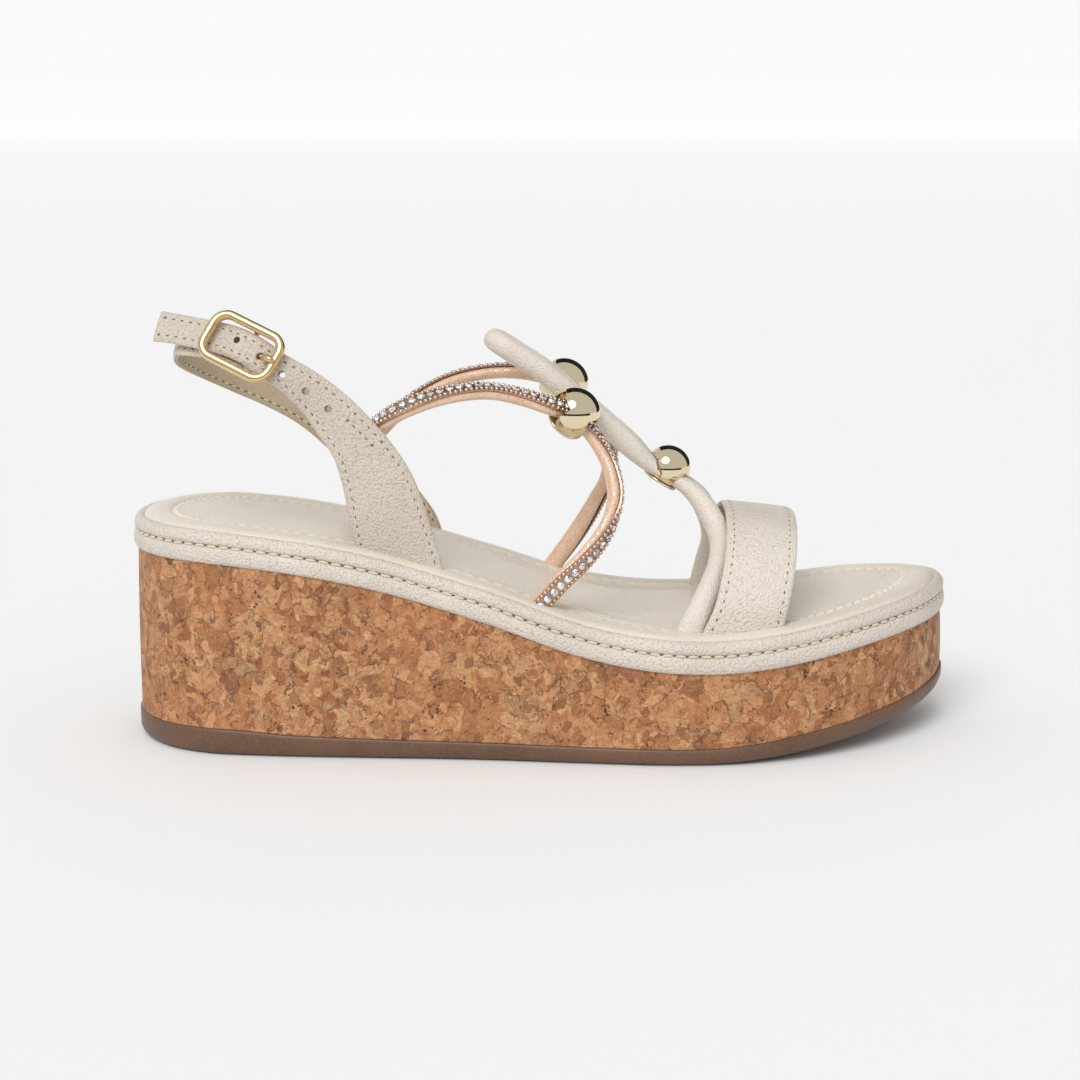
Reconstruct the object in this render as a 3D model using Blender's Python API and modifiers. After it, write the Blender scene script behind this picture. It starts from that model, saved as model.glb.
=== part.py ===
"""Right-foot wedge sandal: cork platform, padded footbed, toe band, cord instep, buckled ankle strap.

The toe points to +X, the inner (medial) side of the foot is +Y, the ground is Z = 0.
Coordinates in the lists are millimetres; a mesh is turned into metres when it is made.
"""

import math

import bpy
import bmesh
from mathutils import Matrix, Vector

MM = 0.001
GAP = 0.3  # between pieces that touch

# Sole and footbed
SIDE_POINTS = 44  # points along each side of the outline
FOAM_THICKNESS = 3.6
BOARD_THICKNESS = 2.2
CORK_THICKNESS = 1.5
BINDING_INNER_INSET = 3.0
BINDING_HEIGHT = 8.7
SOCK_HEIGHT = 8.1  # top of the sock lining's rim above the cork's top edge
SOCK_DIP = 1.3
SOLE_FLARE = 1.2
TOE_SPRING_START = 45.0

# Leather layers
OUTER_THICKNESS = 0.9
LINING_THICKNESS = 0.7
HALF_GAP = GAP / 2

# Cords and trims
CORD_RADIUS = 3.0
CORD_SQUEEZE = 0.74  # the cords are pinched inside the front ball
STONE_CORD_RADIUS = 2.0
TRIM_WIDTH = 4.8
TRIM_THICKNESS = 0.9

# Ball ornaments
SIDE_BALL_RADIUS = 7.6
TOE_BALL_RADIUS = 6.9
BALL_CUT = 3.9
BALL_WALL = 0.9
BASE_INSET = 0.2  # of the base plate inside the cap's lower edge
BASE_THICKNESS = 0.8

# Buckle
FRAME_HALF_LENGTH = 11.3  # to the middle of the end bars
FRAME_HALF_WIDTH = 6.8
FRAME_CORNER = 4.2
FRAME_WIRE = 2.4
FRAME_LOW = 3.2  # above the centre bar's axis
FRAME_HIGH = 6.0
BAR_RADIUS = 0.8
PRONG_RADIUS = 0.8
STRAP_WIDTH = 9.5
HEEL_BAND_WIDTH = 10.5
HOLE_RADIUS = 1.05

BUCKLE_CENTRE = Vector((-86.2, -27.6, 119.8))  # on the centre bar's axis
BUCKLE_ALONG = Vector((0.853, -0.367, -0.370))
BUCKLE_ACROSS = Vector((0.487, 0.307, 0.818))

# Outline of the platform's top edge, heel to toe, (x, y)
LATERAL = [
    (-124.2, 0.6), (-121.4, -12.6), (-113.2, -23.8), (-101.0, -30.6), (-84.0, -33.4), (-55.0, -35.4),
    (-20.0, -37.4), (10.0, -40.8), (38.0, -43.2), (60.0, -41.6), (82.0, -34.4), (101.0, -22.4),
    (115.0, -7.6), (122.6, 8.0), (124.6, 19.0),
]
MEDIAL = [
    (-124.2, 0.6), (-121.6, 13.8), (-113.6, 25.0), (-101.0, 31.8), (-84.0, 33.4), (-55.0, 31.4),
    (-25.0, 30.6), (0.0, 32.8), (28.0, 38.6), (55.0, 43.2), (82.0, 42.0), (104.0, 38.2),
    (117.6, 31.4), (123.2, 25.6), (124.6, 19.0),
]

# Heights along the sandal, (x, z)
DECK = [
    (-124.0, 58.8), (-92.0, 57.7), (-54.0, 52.1), (-17.0, 41.6), (8.0, 33.1), (29.0, 28.9),
    (50.0, 27.8), (72.0, 29.4), (100.0, 33.3), (124.0, 35.2),
]
SOLE_THICKNESS = [(-125.0, 8.2), (-92.0, 8.2), (-76.0, 7.1), (-50.0, 6.3), (10.0, 5.5), (45.0, 5.3), (90.0, 6.0)]


def tangent_at(before, here, after):
    """Slope of a smooth curve at a knot, weighted by how close its neighbours are."""
    back = (here - before).length
    ahead = (after - here).length
    if back == 0:
        return (after - here) / ahead
    if ahead == 0:
        return (here - before) / back
    return ((here - before) / back * ahead + (after - here) / ahead * back) / (back + ahead)


def fine_curve(knots, first, last, closed=False, steps=16):
    """Dense points on the smooth curve through the knots, from knot first to knot last."""
    def knot(i):
        if closed:
            return knots[i % len(knots)]
        return knots[min(max(i, 0), len(knots) - 1)]

    points = []
    for i in range(first, last):
        start, end = knot(i), knot(i + 1)
        span = (end - start).length
        leave = tangent_at(knot(i - 1), start, end) * span
        arrive = tangent_at(start, end, knot(i + 2)) * span
        for k in range(steps):
            t = k / steps
            points.append(
                start * (2 * t**3 - 3 * t**2 + 1)
                + leave * (t**3 - 2 * t**2 + t)
                + end * (3 * t**2 - 2 * t**3)
                + arrive * (t**3 - t**2)
            )
    points.append(knot(last).copy())
    return points


def spread_evenly(points, count):
    """count points at equal steps along the polyline."""
    lengths = [0.0]
    for a, b in zip(points, points[1:]):
        lengths.append(lengths[-1] + (b - a).length)
    spread = []
    j = 0
    for i in range(count):
        target = lengths[-1] * i / (count - 1)
        while j < len(points) - 2 and lengths[j + 1] < target:
            j += 1
        part = (target - lengths[j]) / max(lengths[j + 1] - lengths[j], 1e-9)
        spread.append(points[j].lerp(points[j + 1], min(max(part, 0.0), 1.0)))
    return spread


def smooth(knots, count):
    """count evenly spaced points on the smooth curve through the knots."""
    vectors = [Vector(k) for k in knots]
    return spread_evenly(fine_curve(vectors, 0, len(vectors) - 1), count)


def level(table, x):
    """Height at x on the smooth profile through the table's points."""
    if x <= table[0][0]:
        return table[0][1]
    if x >= table[-1][0]:
        return table[-1][1]
    i = max(k for k in range(len(table) - 1) if table[k][0] <= x)

    def slope(k):
        if k == 0 or k == len(table) - 1:
            return 0.0
        return (table[k + 1][1] - table[k - 1][1]) / (table[k + 1][0] - table[k - 1][0])

    width = table[i + 1][0] - table[i][0]
    t = (x - table[i][0]) / width
    return (
        table[i][1] * (2 * t**3 - 3 * t**2 + 1)
        + slope(i) * width * (t**3 - 2 * t**2 + t)
        + table[i + 1][1] * (3 * t**2 - 2 * t**3)
        + slope(i + 1) * width * (t**3 - t**2)
    )


def deck(x):
    """Top edge of the cork."""
    return level(DECK, x)


def ground_side(x):
    """Underside of the outsole: flat, then rising at the toe."""
    return 0.0095 * max(x - TOE_SPRING_START, 0.0) ** 1.6


def sole_top(x):
    """Where the outsole meets the cork."""
    return ground_side(x) + level(SOLE_THICKNESS, x)


def material(name, colour, roughness, metallic=0.0):
    made = bpy.data.materials.new(name)
    made.use_nodes = True
    shader = made.node_tree.nodes["Principled BSDF"]
    shader.inputs["Base Color"].default_value = (*colour, 1.0)
    shader.inputs["Roughness"].default_value = roughness
    shader.inputs["Metallic"].default_value = metallic
    made.diffuse_color = (*colour, 1.0)
    return made


def add_object(name, bm, finish, smooth_angle=None):
    """Turns a millimetre bmesh into an object in the part's collection."""
    bmesh.ops.recalc_face_normals(bm, faces=bm.faces)
    bmesh.ops.scale(bm, vec=(MM, MM, MM), verts=bm.verts)
    mesh = bpy.data.meshes.new(name)
    bm.to_mesh(mesh)
    bm.free()
    mesh.materials.append(finish)
    if smooth_angle:
        mesh.shade_smooth()
        mesh.set_sharp_from_angle(angle=math.radians(smooth_angle))
    made = bpy.data.objects.new(name, mesh)
    parts.objects.link(made)
    return made


# ---------------------------------------------------------------- outline lofts


def platform_outline():
    """The closed outline: heel tip, lateral side, toe tip, medial side back to the heel."""
    knots = [Vector(p) for p in LATERAL + MEDIAL[-2:0:-1]]
    toe = len(LATERAL) - 1
    lateral = spread_evenly(fine_curve(knots, 0, toe, closed=True), SIDE_POINTS + 1)
    medial = spread_evenly(fine_curve(knots, toe, len(knots), closed=True), SIDE_POINTS + 1)
    return lateral[:-1] + medial[:-1]


def ring(inset, height):
    """The outline moved inwards by inset, at the height that height(x) gives."""
    points = []
    for i, here in enumerate(outline):
        before, after = outline[i - 1], outline[(i + 1) % len(outline)]
        run = (after - before).normalized()
        moved = here + Vector((-run.y, run.x)) * inset
        points.append(Vector((moved.x, moved.y, height(moved.x))))
    return points


def ladder_cap(bm, loop):
    """Closes an outline ring with rungs from the lateral to the medial side."""
    last = len(loop)
    half = last // 2
    bm.faces.new((loop[0], loop[1], loop[last - 1]))
    for i in range(1, half - 1):
        bm.faces.new((loop[i], loop[i + 1], loop[last - i - 1], loop[last - i]))
    bm.faces.new((loop[half - 1], loop[half], loop[half + 1]))


def outline_loft(name, rings, finish, hollow=False):
    """Solid through the rings; a hollow one joins the last ring back to the first."""
    bm = bmesh.new()
    loops = [[bm.verts.new(p) for p in r] for r in rings]
    pairs = list(zip(loops, loops[1:]))
    if hollow:
        pairs.append((loops[-1], loops[0]))
    for low, high in pairs:
        for i in range(len(low)):
            j = (i + 1) % len(low)
            bm.faces.new((low[i], low[j], high[j], high[i]))
    if not hollow:
        ladder_cap(bm, loops[0])
        ladder_cap(bm, loops[-1])
    return add_object(name, bm, finish, smooth_angle=40)


def make_sole():
    outline_loft("outsole", [
        ring(2.6, ground_side),
        ring(0.2, lambda x: ground_side(x) + 0.8),
        ring(-SOLE_FLARE, lambda x: ground_side(x) + 2.6),
        ring(-SOLE_FLARE, sole_top),
    ], rubber)
    base = lambda x: sole_top(x) + GAP
    outline_loft("cork_wrap", [
        ring(-0.6, base),
        ring(0.0, deck),
        ring(CORK_THICKNESS, deck),
        ring(CORK_THICKNESS - 0.6, base),
    ], cork, hollow=True)
    inside = CORK_THICKNESS + GAP
    outline_loft("platform_core", [ring(inside, base), ring(inside, deck)], foam)


def make_footbed():
    above = lambda rise: lambda x: deck(x) + rise
    board_top = GAP + BOARD_THICKNESS
    outline_loft("insole_board", [
        ring(2.2, above(GAP)),
        ring(2.2, above(board_top)),
    ], board)
    foam_top = board_top + GAP + FOAM_THICKNESS
    sock_inset = BINDING_INNER_INSET + GAP
    outline_loft("footbed_foam", [
        ring(sock_inset + 0.4, above(board_top + GAP)),
        ring(sock_inset + 0.4, above(foam_top)),
    ], foam)
    outline_loft("sock_lining", [
        ring(sock_inset + 0.3, above(foam_top + GAP)),
        ring(sock_inset, above(SOCK_HEIGHT - 0.7)),
        ring(sock_inset + 0.9, above(SOCK_HEIGHT)),
        ring(sock_inset + 3.5, above(SOCK_HEIGHT - 0.1)),
        ring(sock_inset + 8.0, above(SOCK_HEIGHT - 0.7)),
        ring(sock_inset + 12.5, above(SOCK_HEIGHT - SOCK_DIP)),
    ], footbed_leather)
    # Lower roll, stitched waist and upper roll of the leather edge, outside then inside.
    outline_loft("edge_binding", [
        ring(1.4, above(GAP)),
        ring(-0.5, above(GAP)),
        ring(-1.1, above(1.6)),
        ring(-1.0, above(3.6)),
        ring(-0.3, above(4.6)),
        ring(-0.8, above(5.6)),
        ring(-0.7, above(7.2)),
        ring(0.2, above(BINDING_HEIGHT - 0.6)),
        ring(1.3, above(BINDING_HEIGHT)),
        ring(2.4, above(BINDING_HEIGHT - 0.3)),
        ring(BINDING_INNER_INSET, above(BINDING_HEIGHT - 1.4)),
        ring(BINDING_INNER_INSET, above(board_top + GAP)),
        ring(1.9, above(board_top + GAP)),
        ring(1.9, above(GAP)),
    ], leather, hollow=True)


# ---------------------------------------------------------------- straps


def strip(name, pairs, rows, thickness, lift, finish, flip=1):
    """Flat strap through pairs of edge points, lifted off its middle surface by lift."""
    knots = [Vector((*a, *b)) for a, b in pairs]
    edges = [(Vector(p[:3]), Vector(p[3:])) for p in smooth(knots, rows)]
    centres = [(a + b) / 2 for a, b in edges]
    bm = bmesh.new()
    loops = []
    for i, (a, b) in enumerate(edges):
        run = centres[min(i + 1, rows - 1)] - centres[max(i - 1, 0)]
        out = (a - b).cross(run).normalized() * flip
        low, high = out * lift, out * (lift + thickness)
        loops.append([bm.verts.new(p) for p in (a + low, a + high, b + high, b + low)])
    for near, far in zip(loops, loops[1:]):
        for i in range(4):
            bm.faces.new((near[i], near[(i + 1) % 4], far[(i + 1) % 4], far[i]))
    bm.faces.new(loops[0])
    bm.faces.new(loops[-1])
    return add_object(name, bm, finish, smooth_angle=40)


def two_layers(outer_name, lining_name, pairs, rows, flip=1, lining_pairs=None, lining_rows=None):
    """Outer leather and lining on either side of the strap's middle surface."""
    outer = strip(outer_name, pairs, rows, OUTER_THICKNESS, HALF_GAP, leather, flip)
    lining = strip(
        lining_name, lining_pairs or pairs, lining_rows or rows, LINING_THICKNESS,
        -HALF_GAP - LINING_THICKNESS, lining_leather, flip,
    )
    return outer, lining


def on_buckle(u, v, h):
    """A point given along, across and above the buckle's centre bar."""
    return BUCKLE_CENTRE + buckle_axes @ Vector((u, v, h))


def across_buckle(u, v, h, width):
    """Edge pair of a strap at a place on the buckle."""
    return on_buckle(u, v + width / 2, h), on_buckle(u, v - width / 2, h)


def across_at(centre, up, width):
    """Edge pair of a strap of this width, centred at a point."""
    half = Vector(up).normalized() * width / 2
    return Vector(centre) + half, Vector(centre) - half


TOE_BAND = [  # rear edge, front edge, lateral to medial
    ((45.6, -37.0, 37.0), (70.0, -33.0, 38.6)),
    ((49.2, -35.6, 46.0), (71.6, -32.8, 47.4)),
    ((52.0, -29.8, 55.4), (73.4, -28.8, 55.6)),
    ((53.8, -19.6, 63.2), (75.0, -18.6, 62.6)),
    ((54.4, -7.0, 68.2), (75.9, -7.0, 66.2)),
    ((54.3, 6.0, 69.2), (76.1, 5.0, 66.9)),
    ((54.0, 18.0, 66.4), (75.9, 17.6, 64.4)),
    ((53.4, 28.6, 59.6), (75.3, 27.6, 58.2)),
    ((52.4, 35.4, 49.6), (74.4, 34.4, 49.2)),
    ((51.6, 36.9, 37.2), (73.8, 36.4, 39.0)),
]
LATERAL_QUARTER = [  # front edge, rear edge, from the footbed up
    ((-29.3, -31.0, 54.6), (-55.4, -29.7, 61.6)),
    ((-31.6, -31.0, 63.0), (-56.6, -30.0, 67.4)),
    ((-34.6, -31.0, 73.2), (-57.8, -30.3, 74.6)),
    ((-38.6, -31.0, 84.4), (-59.2, -30.6, 82.0)),
    ((-44.8, -31.0, 94.2), (-61.2, -30.9, 89.0)),
    ((-53.6, -31.0, 104.2), (-64.4, -31.0, 94.2)),
]
STRAP_START = [
    ((-53.8, -31.0, 104.5), (-64.6, -31.0, 94.5)),
    ((-61.4, -31.5, 111.3), (-70.4, -31.5, 103.0)),
    ((-68.4, -32.2, 116.2), (-75.6, -33.4, 108.9)),
]
MEDIAL_QUARTER = [
    ((-32.0, 25.0, 55.2), (-59.6, 25.4, 62.6)),
    ((-34.6, 25.6, 62.0), (-60.8, 25.8, 67.4)),
    ((-40.6, 26.6, 70.4), (-62.6, 26.5, 73.0)),
    ((-48.4, 27.4, 81.0), (-65.6, 27.2, 79.2)),
    ((-57.6, 28.0, 91.0), (-70.2, 27.8, 84.0)),
    ((-65.8, 28.0, 98.0), (-75.0, 27.8, 88.2)),
]
HEEL_BAND = [  # centre, upward direction across the band, width
    ((-70.7, 27.9, 93.3), (0.68, 0.01, 0.73), 13.5),
    ((-77.6, 27.3, 97.2), (0.52, 0.0, 0.85), 11.4),
    ((-86.0, 25.8, 101.4), (0.46, -0.06, 0.89), 10.6),
    ((-96.0, 22.0, 106.4), (0.42, -0.12, 0.90), 10.5),
    ((-103.8, 15.2, 111.2), (0.36, -0.12, 0.92), 10.5),
    ((-108.6, 6.6, 115.2), (0.26, -0.06, 0.96), 10.5),
    ((-109.8, -3.0, 118.6), (0.20, 0.04, 0.98), 10.5),
    ((-107.6, -12.0, 121.4), (0.30, 0.16, 0.94), 10.5),
]
STRAP_IN_BUCKLE = [  # along, across and above the centre bar, from the front bar to the tail
    (11.3, -0.5, 1.2), (6.0, 0.2, 2.5), (0.0, 0.45, 3.35), (-6.0, 0.2, 2.5),
    (-11.3, -0.6, 1.3), (-16.0, -1.7, 0.9), (-22.0, -3.2, 0.5),
]
TAIL_CORNERS = ((-29.8, -0.4, 0.1), (-27.2, -9.7, 0.1))
FOLD_RADIUS = BAR_RADIUS + GAP + OUTER_THICKNESS + HALF_GAP
PRONG_HOLE = 6.6  # from the centre bar towards the front bar


def make_toe_band():
    two_layers("toe_band_outer", "toe_band_lining", TOE_BAND, 30, flip=-1)


def make_quarters():
    two_layers("quarter_outer_lateral", "quarter_lining_lateral", LATERAL_QUARTER, 16)
    two_layers("quarter_outer_medial", "quarter_lining_medial", MEDIAL_QUARTER, 16, flip=-1)


def make_closing_strap():
    """Pierced strap: from the lateral quarter through the buckle to its free tail."""
    hinge = (Vector(STRAP_START[0][0]) + Vector(STRAP_START[0][1])) / 2
    pairs = STRAP_START + [across_buckle(u, v, h, STRAP_WIDTH) for u, v, h in STRAP_IN_BUCKLE]
    pairs.append([on_buckle(*corner) for corner in TAIL_CORNERS])
    layers = two_layers("strap_outer", "strap_lining", pairs, 64)
    holes = [(x, y, z) for x, y, z in (
        (-68.5, -32.0, 108.9), (-62.4, -31.5, 103.7))]
    cutters = [hole_cutter(f"hole_cutter_{i}", Vector(p), Vector((0, -1, 0.1))) for i, p in enumerate(holes)]
    for name, u in (("tail_hole_cutter", -2.6), ("front_hole_cutter", 13.6)):
        v = 1.2 if u < 0 else -1.4
        cutters.append(hole_cutter(name, on_buckle(u, v, 2.0), buckle_axes.col[2]))
    prong_cutter = hole_cutter("prong_hole_cutter", on_buckle(PRONG_HOLE, 0.0, 2.0), buckle_axes.col[2], 1.35, 1.7)
    for layer in layers:
        for cutter in cutters + [prong_cutter]:
            cut(layer, cutter)
        put_origin(layer, hinge)


def make_heel_band():
    """Band from the medial quarter round the heel, folded back over the buckle's centre bar."""
    around_heel = [across_at(*station) for station in HEEL_BAND]
    approach = [(-19.4, -4.3, -2.6), (-14.0, -2.5, -1.8), (-10.0, -1.2, -1.4), (-6.4, -0.4, -1.35)]
    under = [(-3.6, -0.1, -1.75)]
    fold = []
    for degrees in range(-100, 101, 25):
        turn = math.radians(degrees)
        fold.append((FOLD_RADIUS * math.cos(turn), 0.0, FOLD_RADIUS * math.sin(turn)))
    back = [(-2.9, 0.0, 1.62), (-5.6, 0.0, 0.95)]
    pairs = around_heel + [across_buckle(*p, HEEL_BAND_WIDTH) for p in approach + under + fold + back]
    lining_pairs = around_heel + [across_buckle(*p, HEEL_BAND_WIDTH) for p in approach + under]
    outer, lining = two_layers(
        "heel_band_outer", "heel_band_lining", pairs, 96, -1, lining_pairs, 60,
    )
    hinge = Vector(HEEL_BAND[0][0])
    slot = box_cutter("prong_slot_cutter", on_buckle(0.4, 0.0, 0.0), (5.4, 2.4, 5.6))
    cut(outer, slot)
    for layer in (outer, lining):
        put_origin(layer, hinge)


def put_origin(made, place):
    """Moves a sub-part's origin to a place on its hinge line, leaving its shape where it is."""
    made.data.transform(Matrix.Translation(-place * MM))
    made.matrix_world = Matrix.Translation(place * MM)


# ---------------------------------------------------------------- cutters


def cutter_object(name, bm):
    bmesh.ops.scale(bm, vec=(MM, MM, MM), verts=bm.verts)
    mesh = bpy.data.meshes.new(name)
    bm.to_mesh(mesh)
    bm.free()
    made = bpy.data.objects.new(name, mesh)
    made.hide_render = True
    made.display_type = "WIRE"
    cutters_collection.objects.link(made)
    return made


def facing(direction, along=None):
    """Rotation that turns +Z to direction, and +X as near as it can to along."""
    z = Vector(direction).normalized()
    x = Vector(along) if along else Vector((1.0, 0.2, 0.1))
    x = (x - z * x.dot(z)).normalized()
    return Matrix((x, z.cross(x), z)).transposed()


def hole_cutter(name, centre, direction, across=HOLE_RADIUS, along=HOLE_RADIUS):
    """Round or oval punch; its long side lies along the buckle."""
    bm = bmesh.new()
    bmesh.ops.create_cone(bm, cap_ends=True, segments=12, radius1=1.0, radius2=1.0, depth=7.0)
    bmesh.ops.scale(bm, vec=(along, across, 1.0), verts=bm.verts)
    turn = facing(direction, buckle_axes.col[0])
    bmesh.ops.transform(bm, matrix=Matrix.Translation(centre) @ turn.to_4x4(), verts=bm.verts)
    return cutter_object(name, bm)


def box_cutter(name, centre, size, turn=None):
    bm = bmesh.new()
    bmesh.ops.create_cube(bm, size=1.0)
    bmesh.ops.scale(bm, vec=size, verts=bm.verts)
    matrix = Matrix.Translation(centre) @ (turn or buckle_axes).to_4x4()
    bmesh.ops.transform(bm, matrix=matrix, verts=bm.verts)
    return cutter_object(name, bm)


def cut(target, cutter, operation="DIFFERENCE"):
    modifier = target.modifiers.new(cutter.name, "BOOLEAN")
    modifier.operation = operation
    modifier.object = cutter
    modifier.solver = "EXACT"


# ---------------------------------------------------------------- cords and trims


def tube(name, points, radius, finish, radii=None, resolution=2):
    """Round cord with flat ends along the points."""
    curve = bpy.data.curves.new(name, "CURVE")
    curve.dimensions = "3D"
    curve.bevel_depth = radius * MM
    curve.bevel_resolution = resolution
    curve.use_fill_caps = True
    spline = curve.splines.new("POLY")
    spline.points.add(len(points) - 1)
    for i, p in enumerate(points):
        spline.points[i].co = (*(Vector(p) * MM), 1.0)
        spline.points[i].radius = radii[i] if radii else 1.0
    curve.materials.append(finish)
    made = bpy.data.objects.new(name, curve)
    parts.objects.link(made)
    return made


INSTEP_CORD = [  # lateral end, over the front ball to the instep tip and back, (x, y, z, thickness)
    (42.4, -34.6, 38.6, 1.0), (44.8, -32.8, 43.6, 1.0), (48.8, -27.4, 51.0, 1.0), (52.0, -18.8, 57.6, 1.0),
    (52.4, -11.8, 62.2, 1.0), (49.6, -7.6, 68.4, 1.0), (46.0, -4.4, 73.2, 0.88), (42.0, -2.6, 76.6, CORD_SQUEEZE),
    (36.4, -2.5, 80.0, CORD_SQUEEZE), (30.9, -2.7, 83.6, 0.8), (26.4, -3.3, 87.8, 1.0), (20.2, -3.4, 93.4, 1.0),
    (6.8, -3.3, 104.7, 1.0), (-0.1, -3.3, 110.6, 1.0), (-7.6, -3.3, 115.6, 1.0), (-12.6, -2.9, 118.8, 1.0),
    (-15.2, 0.0, 120.4, 1.0),
    (-12.6, 2.9, 118.8, 1.0), (-7.6, 3.3, 115.6, 1.0), (-0.1, 3.3, 110.6, 1.0), (6.8, 3.3, 104.7, 1.0),
    (20.2, 3.4, 93.4, 1.0), (26.4, 3.3, 87.8, 1.0), (30.9, 2.7, 83.6, 0.8), (36.4, 2.5, 80.0, CORD_SQUEEZE),
    (42.0, 2.6, 76.6, CORD_SQUEEZE), (46.0, 4.6, 73.0, 0.88), (49.6, 9.6, 66.8, 1.0), (51.8, 16.6, 60.4, 1.0),
    (52.6, 23.6, 53.6, 1.0), (51.6, 29.2, 46.0, 1.0), (50.6, 31.6, 38.6, 1.0),
]
LATERAL_STONE_CORD = [  # route from the lateral quarter through the ball to the footbed, and its outer side
    ((-56.6, -25.8, 90.4), (-0.60, -0.10, 0.78)),
    ((-52.0, -25.7, 95.2), (-0.55, -0.10, 0.83)),
    ((-47.5, -26.6, 98.6), (-0.40, -0.40, 0.80)),
    ((-42.8, -27.8, 101.8), (-0.20, -0.60, 0.78)),
    ((-34.1, -26.9, 105.2), (-0.05, -0.48, 0.87)),
    ((-24.8, -25.3, 107.1), (0.00, -0.30, 0.95)),
    ((-16.2, -22.6, 107.2), (0.10, -0.20, 0.97)),
    ((-7.5, -19.9, 105.2), (0.25, -0.25, 0.93)),
    ((2.1, -17.4, 101.9), (0.42, -0.42, 0.80)),
    ((5.3, -15.5, 100.8), (0.50, -0.48, 0.72)),
    ((8.3, -13.8, 99.6), (0.56, -0.46, 0.68)),
    ((10.6, -14.1, 97.0), (0.64, -0.34, 0.68)),
    ((13.0, -14.7, 94.2), (0.70, -0.16, 0.69)),
    ((16.6, -16.4, 88.8), (0.84, 0.10, 0.52)),
    ((19.4, -19.4, 82.4), (0.93, 0.22, 0.28)),
    ((20.0, -23.5, 75.6), (0.97, 0.10, -0.18)),
    ((17.8, -27.0, 68.8), (0.84, -0.40, -0.30)),
    ((11.4, -30.3, 60.0), (0.52, -0.82, -0.20)),
    ((4.8, -31.8, 53.4), (0.35, -0.93, 0.00)),
    ((-1.4, -32.2, 46.6), (0.25, -0.96, 0.00)),
]
MEDIAL_STONE_CORD = [
    ((-55.0, 23.6, 84.6), (-0.65, 0.10, 0.75)),
    ((-50.8, 23.9, 89.4), (-0.60, 0.10, 0.78)),
    ((-45.6, 24.0, 94.6), (-0.50, 0.12, 0.85)),
    ((-39.3, 23.8, 99.4), (-0.34, 0.15, 0.92)),
    ((-29.7, 22.0, 104.6), (-0.16, 0.18, 0.96)),
    ((-20.2, 19.4, 107.4), (-0.04, 0.20, 0.97)),
    ((-9.6, 16.6, 108.3), (0.12, 0.28, 0.94)),
    ((-1.0, 15.0, 107.2), (0.30, 0.44, 0.84)),
    ((2.4, 14.2, 106.3), (0.40, 0.49, 0.78)),
    ((5.7, 14.0, 104.7), (0.44, 0.48, 0.76)),
    ((8.3, 15.4, 102.4), (0.52, 0.38, 0.76)),
    ((11.0, 16.7, 99.6), (0.62, 0.24, 0.74)),
    ((16.6, 18.2, 91.8), (0.80, -0.02, 0.60)),
    ((19.8, 20.6, 83.4), (0.92, -0.10, 0.36)),
    ((19.2, 23.6, 74.2), (0.97, 0.10, -0.14)),
    ((15.4, 25.6, 66.0), (0.84, 0.46, -0.26)),
    ((9.0, 26.6, 54.8), (0.50, 0.84, -0.20)),
    ((3.0, 26.6, 46.2), (0.35, 0.93, 0.00)),
]


def make_instep_cord():
    route = smooth(INSTEP_CORD, 72)
    tube("instep_cord", [p[:3] for p in route], CORD_RADIUS, leather, radii=[p[3] for p in route])


def make_stone_strap(side, route):
    """Round suede cord with the flat stone trim riding on its outer side."""
    knots = [(*place, *Vector(out).normalized()) for place, out in route]
    path = smooth(knots, 44)
    places = [Vector(p[:3]) for p in path]
    tube(f"stone_cord_{side}", places, STONE_CORD_RADIUS, suede)
    pairs = []
    for i, p in enumerate(path):
        run = (places[min(i + 1, len(path) - 1)] - places[max(i - 1, 0)]).normalized()
        out = Vector(p[3:])
        out = (out - run * out.dot(run)).normalized()
        seat = places[i] + out * (STONE_CORD_RADIUS + GAP)
        half = run.cross(out) * TRIM_WIDTH / 2
        pairs.append((seat + half, seat - half))
    strip(f"stone_trim_{side}", pairs, len(pairs), TRIM_THICKNESS, 0.0, stones)


# ---------------------------------------------------------------- ball ornaments


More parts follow.
